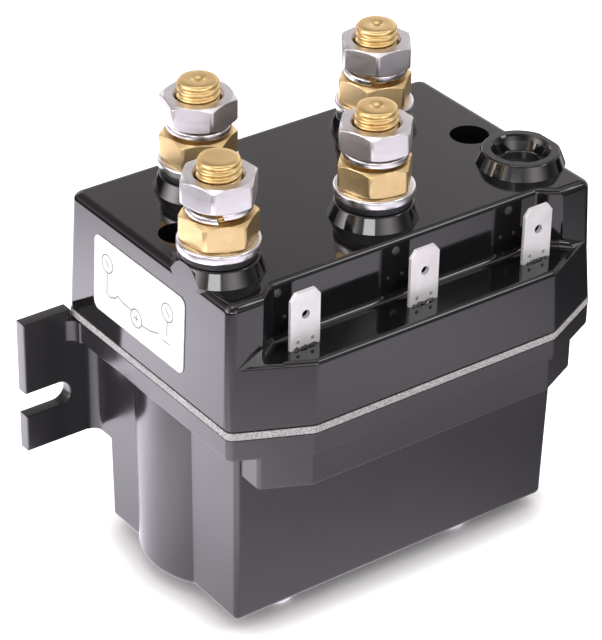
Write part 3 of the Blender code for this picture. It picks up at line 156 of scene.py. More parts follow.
# Softboxes, as (direction, distance, width, height, radiance), in millimetres
BOXES = {
    "overhead": ((0.42, -0.16, 0.89), 600.0, 420.0, 360.0, 0.6),
    "front_right": ((0.53, -0.56, 0.64), 600.0, 140.0, 170.0, 5.0),
    "key": ((-0.70, -0.67, 0.25), 900.0, 420.0, 110.0, 9.0),
    "top_light": ((-0.15, -0.04, 0.985), 600.0, 120.0, 100.0, 5.0),
}
FLOOR_COLOUR = (0.70, 0.70, 0.70, 1.0)
FLOOR_WHITE = (1.0, 0.995, 1.0, 1.0)
# The colour of the table's painted glow, which only reflections see
GLOW_LIGHT_TINT = (1.0, 0.945, 1.05, 1.0)
SKY_TINT = (1.0, 0.94, 0.95, 1.0)
CONTACT_REACH, CONTACT_POWER, CONTACT_SAMPLES = 8.0, 2.6, 16
FLOOR_HALF = 4000.0

# The photograph's camera, solved from the housing's edges, in degrees, millimetres and pixels
CAMERA_TURN, CAMERA_DOWN, CAMERA_ROLL = 36.522, 31.598, 1.03
CAMERA_AIM = Vector((0.0, 0.0, -20.0))
CAMERA_BACK, CAMERA_RIGHT, CAMERA_UP = 521.2, 5.443, 7.332
FOCAL_PIXELS, PHOTO_HEIGHT, SENSOR = 2830.6, 640.0, 36.0


def at(x, y, z):
    """A drawn point in the frame, in metres."""
    return (Vector((x, y, z)) + SHIFT) * MM


# ---- mesh helpers


def loft(rings, bm=None, closed=False):
    """A closed solid through rings of points, or a closed ring of sections."""
    bm = bm or bmesh.new()
    loops = [[bm.verts.new(point) for point in ring] for ring in rings]
    count = len(loops[0])
    pairs = list(zip(loops, loops[1:]))
    if closed:
        pairs.append((loops[-1], loops[0]))
    for lower, upper in pairs:
        for i in range(count):
            j = (i + 1) % count
            bm.faces.new((lower[i], lower[j], upper[j], upper[i]))
    if not closed:
        bm.faces.new(reversed(loops[0]))
        bm.faces.new(loops[-1])
    return bm


def level(outline, z):
    return [(x, y, z) for x, y in outline]


def prism(outline, bottom, top, bm=None):
    return loft([level(outline, bottom), level(outline, top)], bm)


def box(x0, x1, y0, y1, z0, z1, bm=None):
    return prism([(x0, y0), (x1, y0), (x1, y1), (x0, y1)], z0, z1, bm)


def turned(profile, steps=ROUND, centre=(0.0, 0.0), bm=None):
    """Turns a closed profile of (radius, z) points round a vertical axis."""
    bm = bm or bmesh.new()
    shared = {k: bm.verts.new((*centre, z)) for k, (r, z) in enumerate(profile) if r == 0.0}
    verts = []
    for c, s in circle(steps):
        column = []
        for k, (r, z) in enumerate(profile):
            column.append(shared.get(k) or bm.verts.new((centre[0] + r * c, centre[1] + r * s, z)))
        verts.append(column)
    for i in range(steps):
        a, b = verts[i], verts[(i + 1) % steps]
        for k in range(len(profile)):
            m = (k + 1) % len(profile)
            corners = [a[k], b[k], b[m], a[m]]
            corners = [v for n, v in enumerate(corners) if v not in corners[:n]]
            if len(corners) > 2:
                bm.faces.new(corners)
    return bm


def rod(radius, low, high, steps, centre=(0.0, 0.0), bm=None):
    return turned([(0.0, low), (radius, low), (radius, high), (0.0, high)], steps, centre, bm)


def circle(steps):
    """Cosine and sine of the angles round a full turn."""
    return [(cos(TURN * i / steps), sin(TURN * i / steps)) for i in range(steps)]


def quarter(steps):
    """Angles from 0 to 90 degrees."""
    return [QUARTER * k / steps for k in range(steps + 1)]


def lower_edge(bottom, radius, steps):
    """A rounded lower edge from its foot up, as (inward, z)."""
    return [(radius * (1 - sin(a)), bottom + radius * (1 - cos(a)))
            for a in quarter(steps)]


def upper_edge(top, radius, steps=8):
    """A rounded upper edge from below, as (inward, z)."""
    return [(radius * (1 - cos(a)), top - radius + radius * sin(a))
            for a in quarter(steps)]


def rectangle(x, back, front):
    return [(x, back), (-x, back), (-x, front), (x, front)]


def hexagon(flats, start, centre=(0.0, 0.0)):
    """A hexagon by half of its width across flats and the angle of its first corner."""
    r = flats / cos(pi / 6)
    angles = [pi / 3 * k + start for k in range(6)]
    return [(centre[0] + r * cos(a), centre[1] + r * sin(a)) for a in angles]


def mirrored(points, side):
    return [(side * x, y) for x, y in points]


def offset(points, distance):
    """Moves each side of a polygon outward by a distance."""
    grown = []
    for i, here in enumerate(points):
        before, after = points[i - 1], points[(i + 1) % len(points)]
        one = Vector((here[0] - before[0], here[1] - before[1])).normalized()
        two = Vector((after[0] - here[0], after[1] - here[1])).normalized()
        n1, n2 = Vector((one.y, -one.x)), Vector((two.y, -two.x))
        move = (n1 + n2) * (distance / (1.0 + n1.dot(n2)))
        grown.append((here[0] + move.x, here[1] + move.y))
    return grown


def rounded(points, radius, steps=6):
    """Replaces each corner of a polygon by an arc; radius is one number or one for each corner."""
    radii = radius if isinstance(radius, list) else [radius] * len(points)
    outline = []
    for i, here in enumerate(points):
        if not radii[i]:
            outline.append(tuple(here))
            continue
        corner = Vector(here)
        to_before = (Vector(points[i - 1]) - corner).normalized()
        to_after = (Vector(points[(i + 1) % len(points)]) - corner).normalized()
        half = acos(max(-1.0, min(1.0, to_before.dot(to_after)))) / 2
        centre = corner + (to_before + to_after).normalized() * (radii[i] / sin(half))
        start = corner + to_before * (radii[i] / tan(half)) - centre
        end = corner + to_after * (radii[i] / tan(half)) - centre
        sweep = atan2(start.x * end.y - start.y * end.x, start.dot(end))
        for k in range(steps + 1):
            outline.append(tuple(centre + Matrix.Rotation(sweep * k / steps, 2) @ start))
    return outline


def new_object(bm, name):
    """Moves a drawn mesh into the frame and makes it an object."""
    bmesh.ops.recalc_face_normals(bm, faces=bm.faces)
    for vert in bm.verts:
        vert.co = (vert.co + SHIFT) * MM
    mesh = bpy.data.meshes.new(name)
    bm.to_mesh(mesh)
    bm.free()
    return add(name, mesh)


def add(name, data):
    obj = bpy.data.objects.new(name, data)
    bpy.context.scene.collection.objects.link(obj)
    return obj


def boolean(target, tools, operation):
    """Joins or cuts with several solids at once, and keeps only the result."""
    group = bpy.data.collections.new("tools")
    for tool in tools:
        group.objects.link(tool)
    modifier = target.modifiers.new("boolean", "BOOLEAN")
    modifier.operation = operation
    modifier.solver = "EXACT"
    modifier.operand_type = "COLLECTION"
    modifier.collection = group
    bake(target)
    for tool in tools:
        bpy.data.objects.remove(tool, do_unlink=True)
    bpy.data.collections.remove(group)


def bake(obj):
    """Puts what the modifiers make into the object's own mesh."""
    bpy.context.view_layer.update()
    evaluated = obj.evaluated_get(bpy.context.evaluated_depsgraph_get())
    mesh = bpy.data.meshes.new_from_object(evaluated)
    obj.modifiers.clear()
    old = obj.data
    obj.data = mesh
    mesh.name = obj.name
    bpy.data.meshes.remove(old)


def dress(obj, material, replaces=None, angle=30.0, weighted=True):
    """Smooth shading, material, body and CAD node of a finished piece."""
    mesh = obj.data
    mesh.materials.clear()
    mesh.materials.append(material)
    for face in mesh.polygons:
        face.material_index = 0
    mesh.shade_smooth()
    mesh.set_sharp_from_angle(angle=radians(angle))
    if weighted:
        modifier = obj.modifiers.new("weighted", "WEIGHTED_NORMAL")
        modifier.keep_sharp = True
        modifier.weight = 50
        bake(obj)
    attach(obj, HOUSING)
    if replaces:
        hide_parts(replaces)


# ---- node helpers; owner is a material or the world


def node(owner, kind, **values):
    item = owner.node_tree.nodes.new("ShaderNode" + kind)
    for key, value in values.items():
        item.inputs[key].default_value = value
    return item


def link(owner, source, target):
    owner.node_tree.links.new(source, target)


def operate(owner, kind, operation, values):
    """A maths node; each value is a constant or another node's output."""
    item = node(owner, kind)
    item.operation = operation
    for socket, value in zip(item.inputs, values):
        if isinstance(value, bpy.types.NodeSocket):
            link(owner, value, socket)
        else:
            socket.default_value = value
    return item.outputs


def maths(owner, operation, *values):
    return operate(owner, "Math", operation, values)[0]


def vectors(owner, operation, *values):
    outputs = operate(owner, "VectorMath", operation, values)
    return outputs["Value" if operation == "DOT_PRODUCT" else "Vector"]


# ---- materials


def surface(name, colour, roughness, metallic=0.0, ior=None):
    made = bpy.data.materials.new(name)
    made.use_nodes = True
    shader = shader_of(made)
    shader["Base Color"].default_value = (*colour, 1.0)
    shader["Roughness"].default_value = roughness
    shader["Metallic"].default_value = metallic
    if ior:
        shader["IOR"].default_value = ior
    return made


def shader_of(made):
    return made.node_tree.nodes["Principled BSDF"].inputs


def grain(made, scale, detail=3.0, rough=0.5, stretch=(1.0, 1.0, 1.0)):
    """Noise in the object's own space; a higher stretch draws it finer along that axis."""
    coords = node(made, "TexCoord")
    mapping = node(made, "Mapping", Scale=stretch)
    link(made, coords.outputs["Object"], mapping.inputs["Vector"])
    item = node(made, "TexNoise", Scale=scale, Detail=detail, Roughness=rough)
    link(made, mapping.outputs["Vector"], item.inputs["Vector"])
    return item.outputs["Fac"]


def colour_by(made, source, stops):
    """Base colour from a noise, by a ramp of (position, colour)."""
    item = node(made, "ValToRGB")
    elements = item.color_ramp.elements
    while len(elements) < len(stops):
        elements.new(0.5)
    for element, (position, colour) in zip(elements, stops):
        element.position = position
        element.color = (*colour, 1.0)
    link(made, source, item.inputs["Fac"])
    link(made, item.outputs["Color"], shader_of(made)["Base Color"])


def tone_by(made, source, low, high, start=0.35, end=0.65):
    colour_by(made, source, [(start, low), (end, high)])


def rough_by(made, source, low, high, start=0.35, end=0.65):
    span = {"From Min": start, "From Max": end, "To Min": low, "To Max": high}
    item = node(made, "MapRange", **span)
    link(made, source, item.inputs["Value"])
    link(made, item.outputs["Result"], shader_of(made)["Roughness"])


def bumps(made, *layers):
    """Stacks bump layers of (noise, strength, distance in mm)."""
    last = None
    for source, strength, distance in layers:
        item = node(made, "Bump", Strength=strength, Distance=distance * MM)
        link(made, source, item.inputs["Height"])
        if last:
            link(made, last, item.inputs["Normal"])
        last = item.outputs["Normal"]
    link(made, last, shader_of(made)["Normal"])


def gloss_black():
    made = surface("polished_black", (0.007, 0.0065, 0.007), 0.07, ior=1.6)
    cloud = grain(made, 45.0, 4.0, 0.6)
    fine = grain(made, 900.0)
    wave = grain(made, 70.0, 1.0)
    tone_by(made, cloud, (0.006, 0.0055, 0.006), (0.009, 0.0085, 0.009))
    rough_by(made, cloud, 0.05, 0.11)
    bumps(made, (wave, 0.25, 0.05), (fine, 0.05, 0.01))
    return made


def satin_black():
    made = surface("satin_black", (0.013, 0.012, 0.014), 0.22, ior=1.6)
    cloud = grain(made, 60.0, 5.0, 0.6)
    pebble = grain(made, 2600.0, 2.0)
    drag = grain(made, 160.0, 4.0, 0.55, (1.0, 1.0, 0.25))
    tone_by(made, cloud, (0.010, 0.0095, 0.011), (0.016, 0.015, 0.017))
    rough_by(made, drag, 0.17, 0.25)
    bumps(made, (drag, 0.15, 0.05), (pebble, 0.12, 0.02))
    return made


def gasket_grey():
    """Foam rubber with dark, middle and light specks."""
    made = surface("foam_rubber", (0.30, 0.295, 0.30), 0.6)
    speck = grain(made, 3000.0, 2.0, 0.6)
    patch = grain(made, 150.0, 2.0)
    dark, middle, light = (0.25, 0.24, 0.25), (0.45, 0.44, 0.45), (0.64, 0.63, 0.63)
    colour_by(made, speck, [(0.34, dark), (0.50, middle), (0.68, light)])
    rough_by(made, patch, 0.6, 0.85)
    bumps(made, (speck, 0.7, 0.12))
    return made


def paper_white():
    made = surface("label_film", (0.86, 0.86, 0.87), 0.42)
    fibre = grain(made, 1800.0, 4.0)
    tone_by(made, fibre, (0.84, 0.84, 0.85), (0.91, 0.91, 0.915), 0.3, 0.7)
    bumps(made, (fibre, 0.05, 0.01))
    return made


def print_grey():
    made = surface("label_ink", (0.10, 0.10, 0.11), 0.5)
    dots = grain(made, 5200.0, 2.0)
    tone_by(made, dots, (0.05, 0.05, 0.06), (0.20, 0.20, 0.21), 0.38, 0.62)
    return made


def rubber_black():
    made = surface("seal_rubber", (0.012, 0.012, 0.013), 0.5)
    cloud = grain(made, 700.0)
    rough_by(made, cloud, 0.4, 0.6)
    bumps(made, (cloud, 0.2, 0.03))
    return made


def metal(name, dark, light, low, high, stretch=(1.0, 1.0, 1.0), scale=220.0, bump=0.12):
    """Machined metal: cloudy colour, and roughness and fine grooves drawn out one way."""
    made = surface(name, light, low, 1.0)
    cloud = grain(made, 130.0, 5.0, 0.65)
    lines = grain(made, scale, 4.0, 0.6, stretch)
    tone_by(made, cloud, dark, light)
    rough_by(made, lines, low, high, 0.3, 0.7)
    bumps(made, (lines, bump, 0.02))
    return made


def tin_plate():
    """Dull tin over brass: part diffuse, with faint rolling lines."""
    made = surface("tab_tin", (0.84, 0.83, 0.84), 0.42, 0.5)
    cloud = grain(made, 240.0, 4.0, 0.6)
    lines = grain(made, 420.0, 4.0, 0.6, (6.0, 1.0, 1.0))
    tone_by(made, cloud, (0.80, 0.79, 0.80), (0.92, 0.91, 0.91))
    rough_by(made, lines, 0.36, 0.48)
    bumps(made, (lines, 0.10, 0.02))
    return made


def plain_inner(name, low, high, roughness, metallic, scale=300.0, stretch=(1.0, 1.0, 1.0),
                bump=0.2):
    """The finish of a piece inside the housing."""
    made = surface(name, high, roughness, metallic)
    cloud = grain(made, scale, 4.0, 0.6, stretch)
    tone_by(made, cloud, low, high)
    bumps(made, (cloud, bump, 0.05))
    return made


GLOSS, SATIN, FOAM = gloss_black(), satin_black(), gasket_grey()
FILM, INK, RUBBER = paper_white(), print_grey(), rubber_black()
BRASS = metal("nut_brass", (0.76, 0.56, 0.27), (0.88, 0.68, 0.37), 0.34, 0.46,
              (1.0, 1.0, 5.0), 320.0, 0.10)
STUD_BRASS = metal("stud_brass", (0.80, 0.57, 0.25), (0.91, 0.68, 0.34), 0.30, 0.42,
                   (1.0, 1.0, 4.0), 380.0, 0.10)
STEEL = metal("nut_steel", (0.68, 0.665, 0.67), (0.80, 0.785, 0.79), 0.32, 0.44,
              (1.0, 1.0, 4.0), 300.0, 0.08)
POLISHED = metal("washer_steel", (0.74, 0.72, 0.73), (0.86, 0.84, 0.85), 0.22, 0.32,
                 (1.0, 1.0, 3.0), 260.0, 0.06)
TIN = tin_plate()
ZINC = metal("screw_zinc", (0.56, 0.56, 0.58), (0.70, 0.70, 0.71), 0.25, 0.4)
COPPER = plain_inner("bus_copper", (0.62, 0.29, 0.17), (0.76, 0.40, 0.26), 0.3, 1.0)
WIRE = plain_inner("winding_copper", (0.50, 0.20, 0.10), (0.72, 0.34, 0.18), 0.35, 1.0,
                   90.0, (0.2, 0.2, 22.0), 0.8)
IRON = plain_inner("soft_iron_grey", (0.28, 0.28, 0.29), (0.40, 0.40, 0.41), 0.42, 1.0)
NYLON = plain_inner("cream_nylon", (0.52, 0.49, 0.40), (0.62, 0.59, 0.50), 0.5, 0.0)
SPRING = plain_inner("spring_wire", (0.48, 0.48, 0.49), (0.62, 0.62, 0.63), 0.28, 1.0)

# The CAD nodes that stay, by name without their number
INNER = {
    "positive_bus": COPPER, "negative_bus": COPPER, "motor_link": COPPER, "contact_bar": COPPER,
    "winding": WIRE, "yoke": IRON, "yoke_plate": IRON, "fixed_core": IRON, "plunger": IRON,
    "bobbin": NYLON, "contact_carrier": NYLON, "contact_tray": NYLON,
}


def paint_inner():
    for name, obj in NODES.items():
        chosen = INNER.get(name.rstrip("0123456789").rstrip("_"))
        if chosen:
            obj.data.materials.clear()
            obj.data.materials.append(chosen)


# ---- cover and gasket


def housing_plan():
    x, y, w = JOINT_X, JOINT_Y, SHELF_LENGTH / 2
    return [(x, y), (-x, y), (-x, -y), (-w, -y - SHELF_REACH), (w, -y - SHELF_REACH), (x, -y)]


def housing_outline(grow):
    return rounded(offset(housing_plan(), grow), CORNER)


def shelf_plan(rise):
    """The housing's plan; rise goes from 0 at the joint to 1 at the shelf's top."""
    draw = DRAFT * (HEIGHT - SHELF_DROP) * rise
    w, front = SHELF_LENGTH / 2, -JOINT_Y - SHELF_REACH
    long = hypot(JOINT_X - w, SHELF_REACH)
    inward = draw + SHELF_LEAN * rise
    x = JOINT_X - 0.03 - inward * SHELF_REACH / long
    y = JOINT_Y - inward * (JOINT_X - w) / long
    return [(x, 5.0), (-x, 5.0), (-x, -y), (-w + draw, front + draw), (w - draw, front + draw),
            (x, -y)]


def facet_height(x, y):
    return -SHELF_DROP + FACET_RISE[0] * (FACET_AT[0] - abs(x)) + FACET_RISE[1] * (y - FACET_AT[1])


def make_shelf():
    """The front step; its top rises to the block at both ends, in a small sloped facet."""
    front = [CORNER, SHELF_CORNER, SHELF_CORNER, CORNER]
    rings = [level(rounded(shelf_plan(0.0), [CORNER, CORNER] + front), -HEIGHT)]
    top = shelf_plan(1.0)
    for inward, z in upper_edge(-SHELF_DROP, SHELF_EDGE):
        rings.append(level(rounded(offset(top, -inward), [0.6, 0.6] + front), z))
    shelf = new_object(loft(rings), "shelf")

    (x, y), (next_x, next_y) = top[2], top[3]
    inner = -31.5
    inner_y = y + (next_y - y) / (next_x - x) * (inner - x) + 0.12
    plan = [(x + 0.3, -20.0), (x + 0.3, y + 0.3), (inner, inner_y), (inner, -20.0)]
    ends = [new_object(prism(mirrored(plan, -side), -16.0, -8.0), "end") for side in SIDES]
    boolean(shelf, ends, "UNION")

    wedges = []
    for side in SIDES:
        plan = mirrored([(44.0, -36.0), (FACET_X, -36.0), (FACET_X, -19.0), (44.0, -19.0)], side)
        rings = [[(x, y, facet_height(x, y)) for x, y in plan], level(plan, ABOVE)]
        wedges.append(new_object(loft(rings), "slope"))
    boolean(shelf, wedges, "DIFFERENCE")
    return shelf


def recess_tool():
    """The recess over the shelf, with a fillet at its foot and a rounded lip."""
    back, edge = RECESS_LENGTH / 2, -WIDTH / 2
    out = WIDTH / 2 + 2 * SHELF_REACH
    near = back + RECESS_FLARE
    reach = near + RECESS_SPREAD * (out + edge)
    plan = [(back, -RECESS_WALL), (-back, -RECESS_WALL), (-near, edge), (-reach, -out),
            (reach, -out), (near, edge)]

    def ring(grow, z):
        return level(rounded(offset(plan, grow), [CORNER + grow, CORNER + grow, 0.4] * 2), z)

    rings = [ring(-inward, z) for inward, z in lower_edge(-SHELF_DROP, RECESS_FOOT, 6)]
    rings += [ring(outward, z) for outward, z in upper_edge(0.0, RECESS_LIP)]
    rings.append(ring(RECESS_LIP, RECESS_LIP))
    return new_object(loft(rings), "recess_tool")


def boss(height, top, edge, centre, bm):
    """A tapered boss, whose foot starts inside the roof."""
    foot, sunk = 8.35, -1.25
    points = [(0.0, sunk), (foot - 0.5, sunk), (foot, 0.0), (top, height), (0.0, height)]
    turned(rounded(points, [0, 0, 0, edge, 0]), ROUND, centre, bm)


def make_bosses():
    """Four stud bosses and the blank one, trimmed where they pass the ends of the cover."""
    bm = bmesh.new()
    for centre in STUDS:
        boss(2.9, 7.15, 0.45, centre, bm)
    boss(2.7, 7.2, 0.5, BLANK, bm)
    bosses = new_object(bm, "bosses")
    bm = bmesh.new()
    for side in SIDES:
        rings = []
        for z in (ROOF, ABOVE):
            inner, outer = LENGTH / 2 - DRAFT * z + 0.45, LENGTH / 2 + 17.0
            plan = [(inner, -29.0), (outer, -29.0), (outer, 5.0), (inner, 5.0)]
            rings.append(level(mirrored(plan, side), z))
        loft(rings, bm)
    boolean(bosses, [new_object(bm, "boss_trim")], "DIFFERENCE")
    return bosses


def cover_hollows(below):
    plan = rectangle(LENGTH / 2 - WALL, WIDTH / 2 - WALL, -RECESS_WALL + WALL)
    rings = [level(rounded(offset(plan, DRAFT * -z), CORNER), z) for z in (below, ROOF)]
    tools = [new_object(loft(rings), "main_hollow")]
    rings = [level(rounded(offset(shelf_plan(rise), -WALL), 0.6), z)
             for rise, z in ((0.0, below), (1.0, -SHELF_DROP - WALL))]
    return tools + [new_object(loft(rings), "shelf_hollow")]


def cover_bores(below):
    """Stud bores and tab slots, the dish of the blank boss, and the stepped screw wells."""
    bm = bmesh.new()
    for centre in STUDS:
        rod(4.3, -5.0, ABOVE, 64, centre, bm)
    for x in TAB_X:
        box(x - 2.4, x + 2.4, TAB_Y - 0.7, TAB_Y + 0.7, -16.0, -9.0, bm)
    tools = [new_object(bm, "stud_bores")]
    dish = [(0.0, -0.2), (4.1, -0.2), (4.9, 1.7), (5.3, 2.4), (5.75, 2.9), (5.75, 5.0), (0.0, 5.0)]
    dish = rounded(dish, [0, 0.5, 0.6, 0.5, 0, 0, 0], 4)
    tools.append(new_object(turned(dish, ROUND, BLANK), "blank_dish"))
    bm = bmesh.new()
    well = [(0.0, below), (2.3, below), (2.3, -9.0), (3.725, -9.0), (3.725, 2.5), (0.0, 2.5)]
    for centre in SCREWS:
        turned(well, 72, centre, bm)
    return tools + [new_object(bm, "wells")]


def make_cover():
    plan = rectangle(LENGTH / 2, WIDTH / 2, -WIDTH / 2)
    rings = [level(rounded(offset(plan, DRAFT * HEIGHT), CORNER), -HEIGHT)]
    for inward, z in upper_edge(0.0, TOP_EDGE):
        shape = offset(plan, DRAFT * max(0.0, -z) - inward)
        rings.append(level(rounded(shape, max(CORNER - inward * 0.5, CORNER * 0.4)), z))
    cover = new_object(loft(rings), "cover_shell")
    boolean(cover, [make_shelf()], "UNION")
    boolean(cover, [recess_tool()], "DIFFERENCE")
    boolean(cover, [make_bosses()], "UNION")
    below = -HEIGHT - WALL
    boolean(cover, cover_hollows(below), "DIFFERENCE")
    bm = bmesh.new()
    for centre in SCREWS:
        rod(4.725, -HEIGHT, -1.2, 48, centre, bm)
    boolean(cover, [new_object(bm, "posts")], "UNION")
    boolean(cover, cover_bores(below), "DIFFERENCE")
    dress(cover, GLOSS, "cover")


def make_gasket():
    """A foam rubber frame, a little uneven in height; its inner step leaves a dark gap on top."""
    inner, outer, low = -2.15, 0.12, GASKET_TOP - 0.6
    section = [(inner, GASKET_BOTTOM), (outer, GASKET_BOTTOM), (outer, GASKET_TOP),
               (-0.1, GASKET_TOP), (-0.32, low), (inner, low)]
    rings = []
    for grow, z in rounded(section, [0, 0.25, 0.18, 0.04, 0, 0], 4):
        ring = [Vector(point) for point in level(housing_outline(grow), z)]
        for point in ring:
            point.z += 0.05 * noise.noise(Vector((point.x * 0.35, point.y * 0.35, point.z)))
        rings.append(ring)
    gasket = new_object(loft(rings, closed=True), "gasket_strip")
    dress(gasket, FOAM, "gasket", angle=50.0)


# ---- base


def body_plan(grow=0.0):
    return rectangle(BODY_X + grow, BODY_BACK + grow, -BODY_FRONT - grow)


def body_draft(z):
    return BASE_DRAFT * max(0.0, BAND_BOTTOM - z)


def edged(plan, bottom, top, radius):
    """A prism with its lower edge rounded."""
    rings = []
    for inward, z in lower_edge(bottom, 0.5, 4):
        rings.append(level(rounded(offset(plan, -inward), radius), z))
    rings.append(level(rounded(plan, radius), top))
    return loft(rings)


def band_plan():
    """The step under the flange, along the front only; its ends stop inside the body."""
    flange = offset(housing_plan(), -0.8)
    (side_x, side_y), (front_x, front_y) = flange[2], flange[3]
    x = BODY_X - 0.9
    flank_y = side_y + (front_y - side_y) * (-x - side_x) / (front_x - side_x)
    half = [(-x, -8.0), (-x, flank_y), (front_x, front_y)]
    return mirrored(half[:1], -1) + half + mirrored(half[:0:-1], -1)


def base_block(seam):
    rings = []
    for inward, z in lower_edge(BASE_BOTTOM, BASE_EDGE, 8):
        shape = offset(body_plan(), -body_draft(z) - inward)
        rings.append(level(rounded(shape, max(BASE_CORNER - inward / 2, 0.5)), z))
    for z in (BAND_BOTTOM, seam):
        rings.append(level(rounded(body_plan(), BASE_CORNER), z))
    return new_object(loft(rings), "block")


def base_bulges(seam):
    """The round bulge at each end, where a coil stands."""
    profile = [(0.0, BASE_BOTTOM)]
    for inward, z in lower_edge(BASE_BOTTOM, BASE_EDGE, 8):
        profile.append((BULGE - body_draft(z) - inward, z))
    profile += [(BULGE, BAND_BOTTOM), (BULGE, seam), (0.0, seam)]
    return [new_object(turned(profile, 192, (side * COIL_X, COIL_Y)), "bulge") for side in SIDES]


def ear_outline():
    """The mounting plate seen from behind, with a slot open at the end of each ear."""
    inner = JOINT_X + 0.75
    outline = [(inner, FLANGE_TOP), (inner, EAR_TOP), (EAR_OUT, EAR_TOP),
               (EAR_OUT, SLOT_Z + SLOT_RADIUS)]
    centre_x, steps = EAR_OUT - SLOT_DEPTH + SLOT_RADIUS, 24
    for k in range(steps + 1):
        angle = QUARTER + pi * k / steps
        outline.append((centre_x + SLOT_RADIUS * cos(angle),
                        SLOT_Z + SLOT_RADIUS * sin(angle)))
    outline += [(EAR_OUT, SLOT_Z - SLOT_RADIUS), (EAR_OUT, EAR_BOTTOM)]
    outline += mirrored(outline[::-1], -1)
    return outline[::-1]


def ear_plate(front):
    edge = 0.3
    soft = edge * 0.3
    steps = ((edge, front), (soft, front + soft), (0.0, front + edge), (0.0, BACK_FACE - edge),
             (soft, BACK_FACE - soft), (edge, BACK_FACE))
    rings = [[(x, y, z) for x, z in offset(ear_outline(), -inward)] for inward, y in steps]
    return new_object(loft(rings), "ear_plate")


def ear_wall(wall, rear, front):
    """Half of a plan that runs along a wall and turns outward into the ear's plate."""
    radius = 2.0
    plan = [(wall, rear)]
    for turn in quarter(10):
        angle = pi - turn
        plan.append((wall + radius + radius * cos(angle),
                     front - radius + radius * sin(angle)))
    return plan + [(wall + radius, front + EAR_THICKNESS / 2)]


def ear_supports(front):
    """The skirt behind the body, and a web beside the flange at each end."""
    half = ear_wall(BODY_X + 0.15, BODY_BACK / 2, front)
    skirt = prism(half + mirrored(half[::-1], -1), EAR_BOTTOM + 0.05, FLANGE_BOTTOM + 0.3)
    pieces = [new_object(skirt, "skirt")]
    wall = JOINT_X + 0.35
    inner = wall - 1.4
    plan = [(inner, front - 3.4)] + ear_wall(wall, 0.0, front)[1:] + [(inner, front + 1.4)]
    for side in SIDES:
        web = prism(mirrored(plan, side), FLANGE_BOTTOM + 0.05, FLANGE_TOP - 0.05)
        pieces.append(new_object(web, "web"))
    return pieces


def base_hollows(above):
    rebate = prism(housing_outline(-2.65), FLANGE_TOP - 3.0, above)
    tools = [new_object(rebate, "rebate")]
    rings = []
    for z in (BASE_FLOOR, BAND_BOTTOM, above):
        rings.append(level(rounded(body_plan(-BASE_WALL - body_draft(z)), 1.5), z))
    tools.append(new_object(loft(rings), "hollow"))
    radius, top = BULGE - BASE_WALL, FLANGE_TOP - 2.7
    profile = [(0.0, BASE_FLOOR), (radius - body_draft(BASE_FLOOR), BASE_FLOOR),
               (radius, BAND_BOTTOM), (radius, top), (0.0, top)]
    for side in SIDES:
        tools.append(new_object(turned(profile, 72, (side * COIL_X, COIL_Y)), "coil_hollow"))
    return tools


def make_base():
    flange = edged(offset(housing_plan(), 0.05), FLANGE_BOTTOM, FLANGE_TOP, CORNER)
    base = new_object(flange, "base_shell")
    seam, front = FLANGE_BOTTOM + 1.0, BACK_FACE - EAR_THICKNESS
    tools = [new_object(edged(band_plan(), BAND_BOTTOM, seam, 1.0), "band"), base_block(seam)]
    tools += base_bulges(seam) + [ear_plate(front)] + ear_supports(front)
    boolean(base, tools, "UNION")

    above, low = FLANGE_TOP + 2.0, FLANGE_TOP - 7.0
    boolean(base, base_hollows(above), "DIFFERENCE")
    half, outer = 3.8, 38.6
    pillars, bores = [], []
    for x, y in SCREWS:
        x0, x1 = sorted((copysign(abs(x) - half, x), copysign(outer, x)))
        pillars.append(new_object(box(x0, x1, y - half, y + half, low, FLANGE_TOP), "pillar"))
        bores.append(new_object(rod(2.3, low - 0.3, above, 32, (x, y)), "bore"))
    for x in FOOT_X:
        for y in FOOT_Y:
            bores.append(new_object(rod(1.75, BASE_BOTTOM - 1, BASE_FLOOR + 1, 32, (x, y)), "bore"))
    boolean(base, pillars, "UNION")
    boolean(base, bores, "DIFFERENCE")
    dress(base, SATIN, "base")


# ---- label


def label_plate():
    rings = []
    for inward, z in ((0.0, 0.02), (0.0, 0.16), (0.03, 0.2), (0.1, 0.22)):
        outline = offset(rectangle(LABEL_HALF[0], LABEL_HALF[1], -LABEL_HALF[1]), -inward)
        rings.append(level(rounded(outline, 1.6 - inward, 10), z))
    return loft(rings)


def label_lines():
    """Thin strips just above the film; points are (y, z) of the housing's left end."""
    bm = bmesh.new()

    def strip(points, closed=False):
        count = len(points)
        sides = []
        for i, here in enumerate(points):
            before = points[i - 1] if closed or i else here
            after = points[(i + 1) % count] if closed or i < count - 1 else here
            along = (after - before).normalized()
            across = Vector((-along.y, along.x)) * LINE_HALF
            sides.append([bm.verts.new((*(here + across * s), 0.235)) for s in SIDES])
        for i in range(count if closed else count - 1):
            a, b = sides[i], sides[(i + 1) % count]
            bm.faces.new((a[0], b[0], b[1], a[1]))

    def spot(y, z):
        return Vector((-(y - LABEL_Y), z - LABEL_Z))

    for y, z in CIRCLES:
        strip([spot(y, z) + Vector(point) * CIRCLE_RADIUS for point in circle(48)], True)
    for points in LINES:
        strip([spot(y, z) for y, z in points])
    return bm


def make_label():
    flat = Matrix(((0, 0, -1, 0), (-1, 0, 0, 0), (0, 1, 0, 0), (0, 0, 0, 1)))
    lean = Matrix.Rotation(atan(DRAFT), 4, "Y")
    move = Matrix.Translation((-(LENGTH / 2 - DRAFT * LABEL_Z), LABEL_Y, LABEL_Z))
    plate, lines = label_plate(), label_lines()
    for bm in (plate, lines):
        bmesh.ops.transform(bm, matrix=move @ lean @ flat, verts=bm.verts)
    dress(new_object(plate, "label_plate"), FILM, "terminal_label")
    dress(new_object(lines, "label_lines"), INK, weighted=False)


# ---- terminal stacks


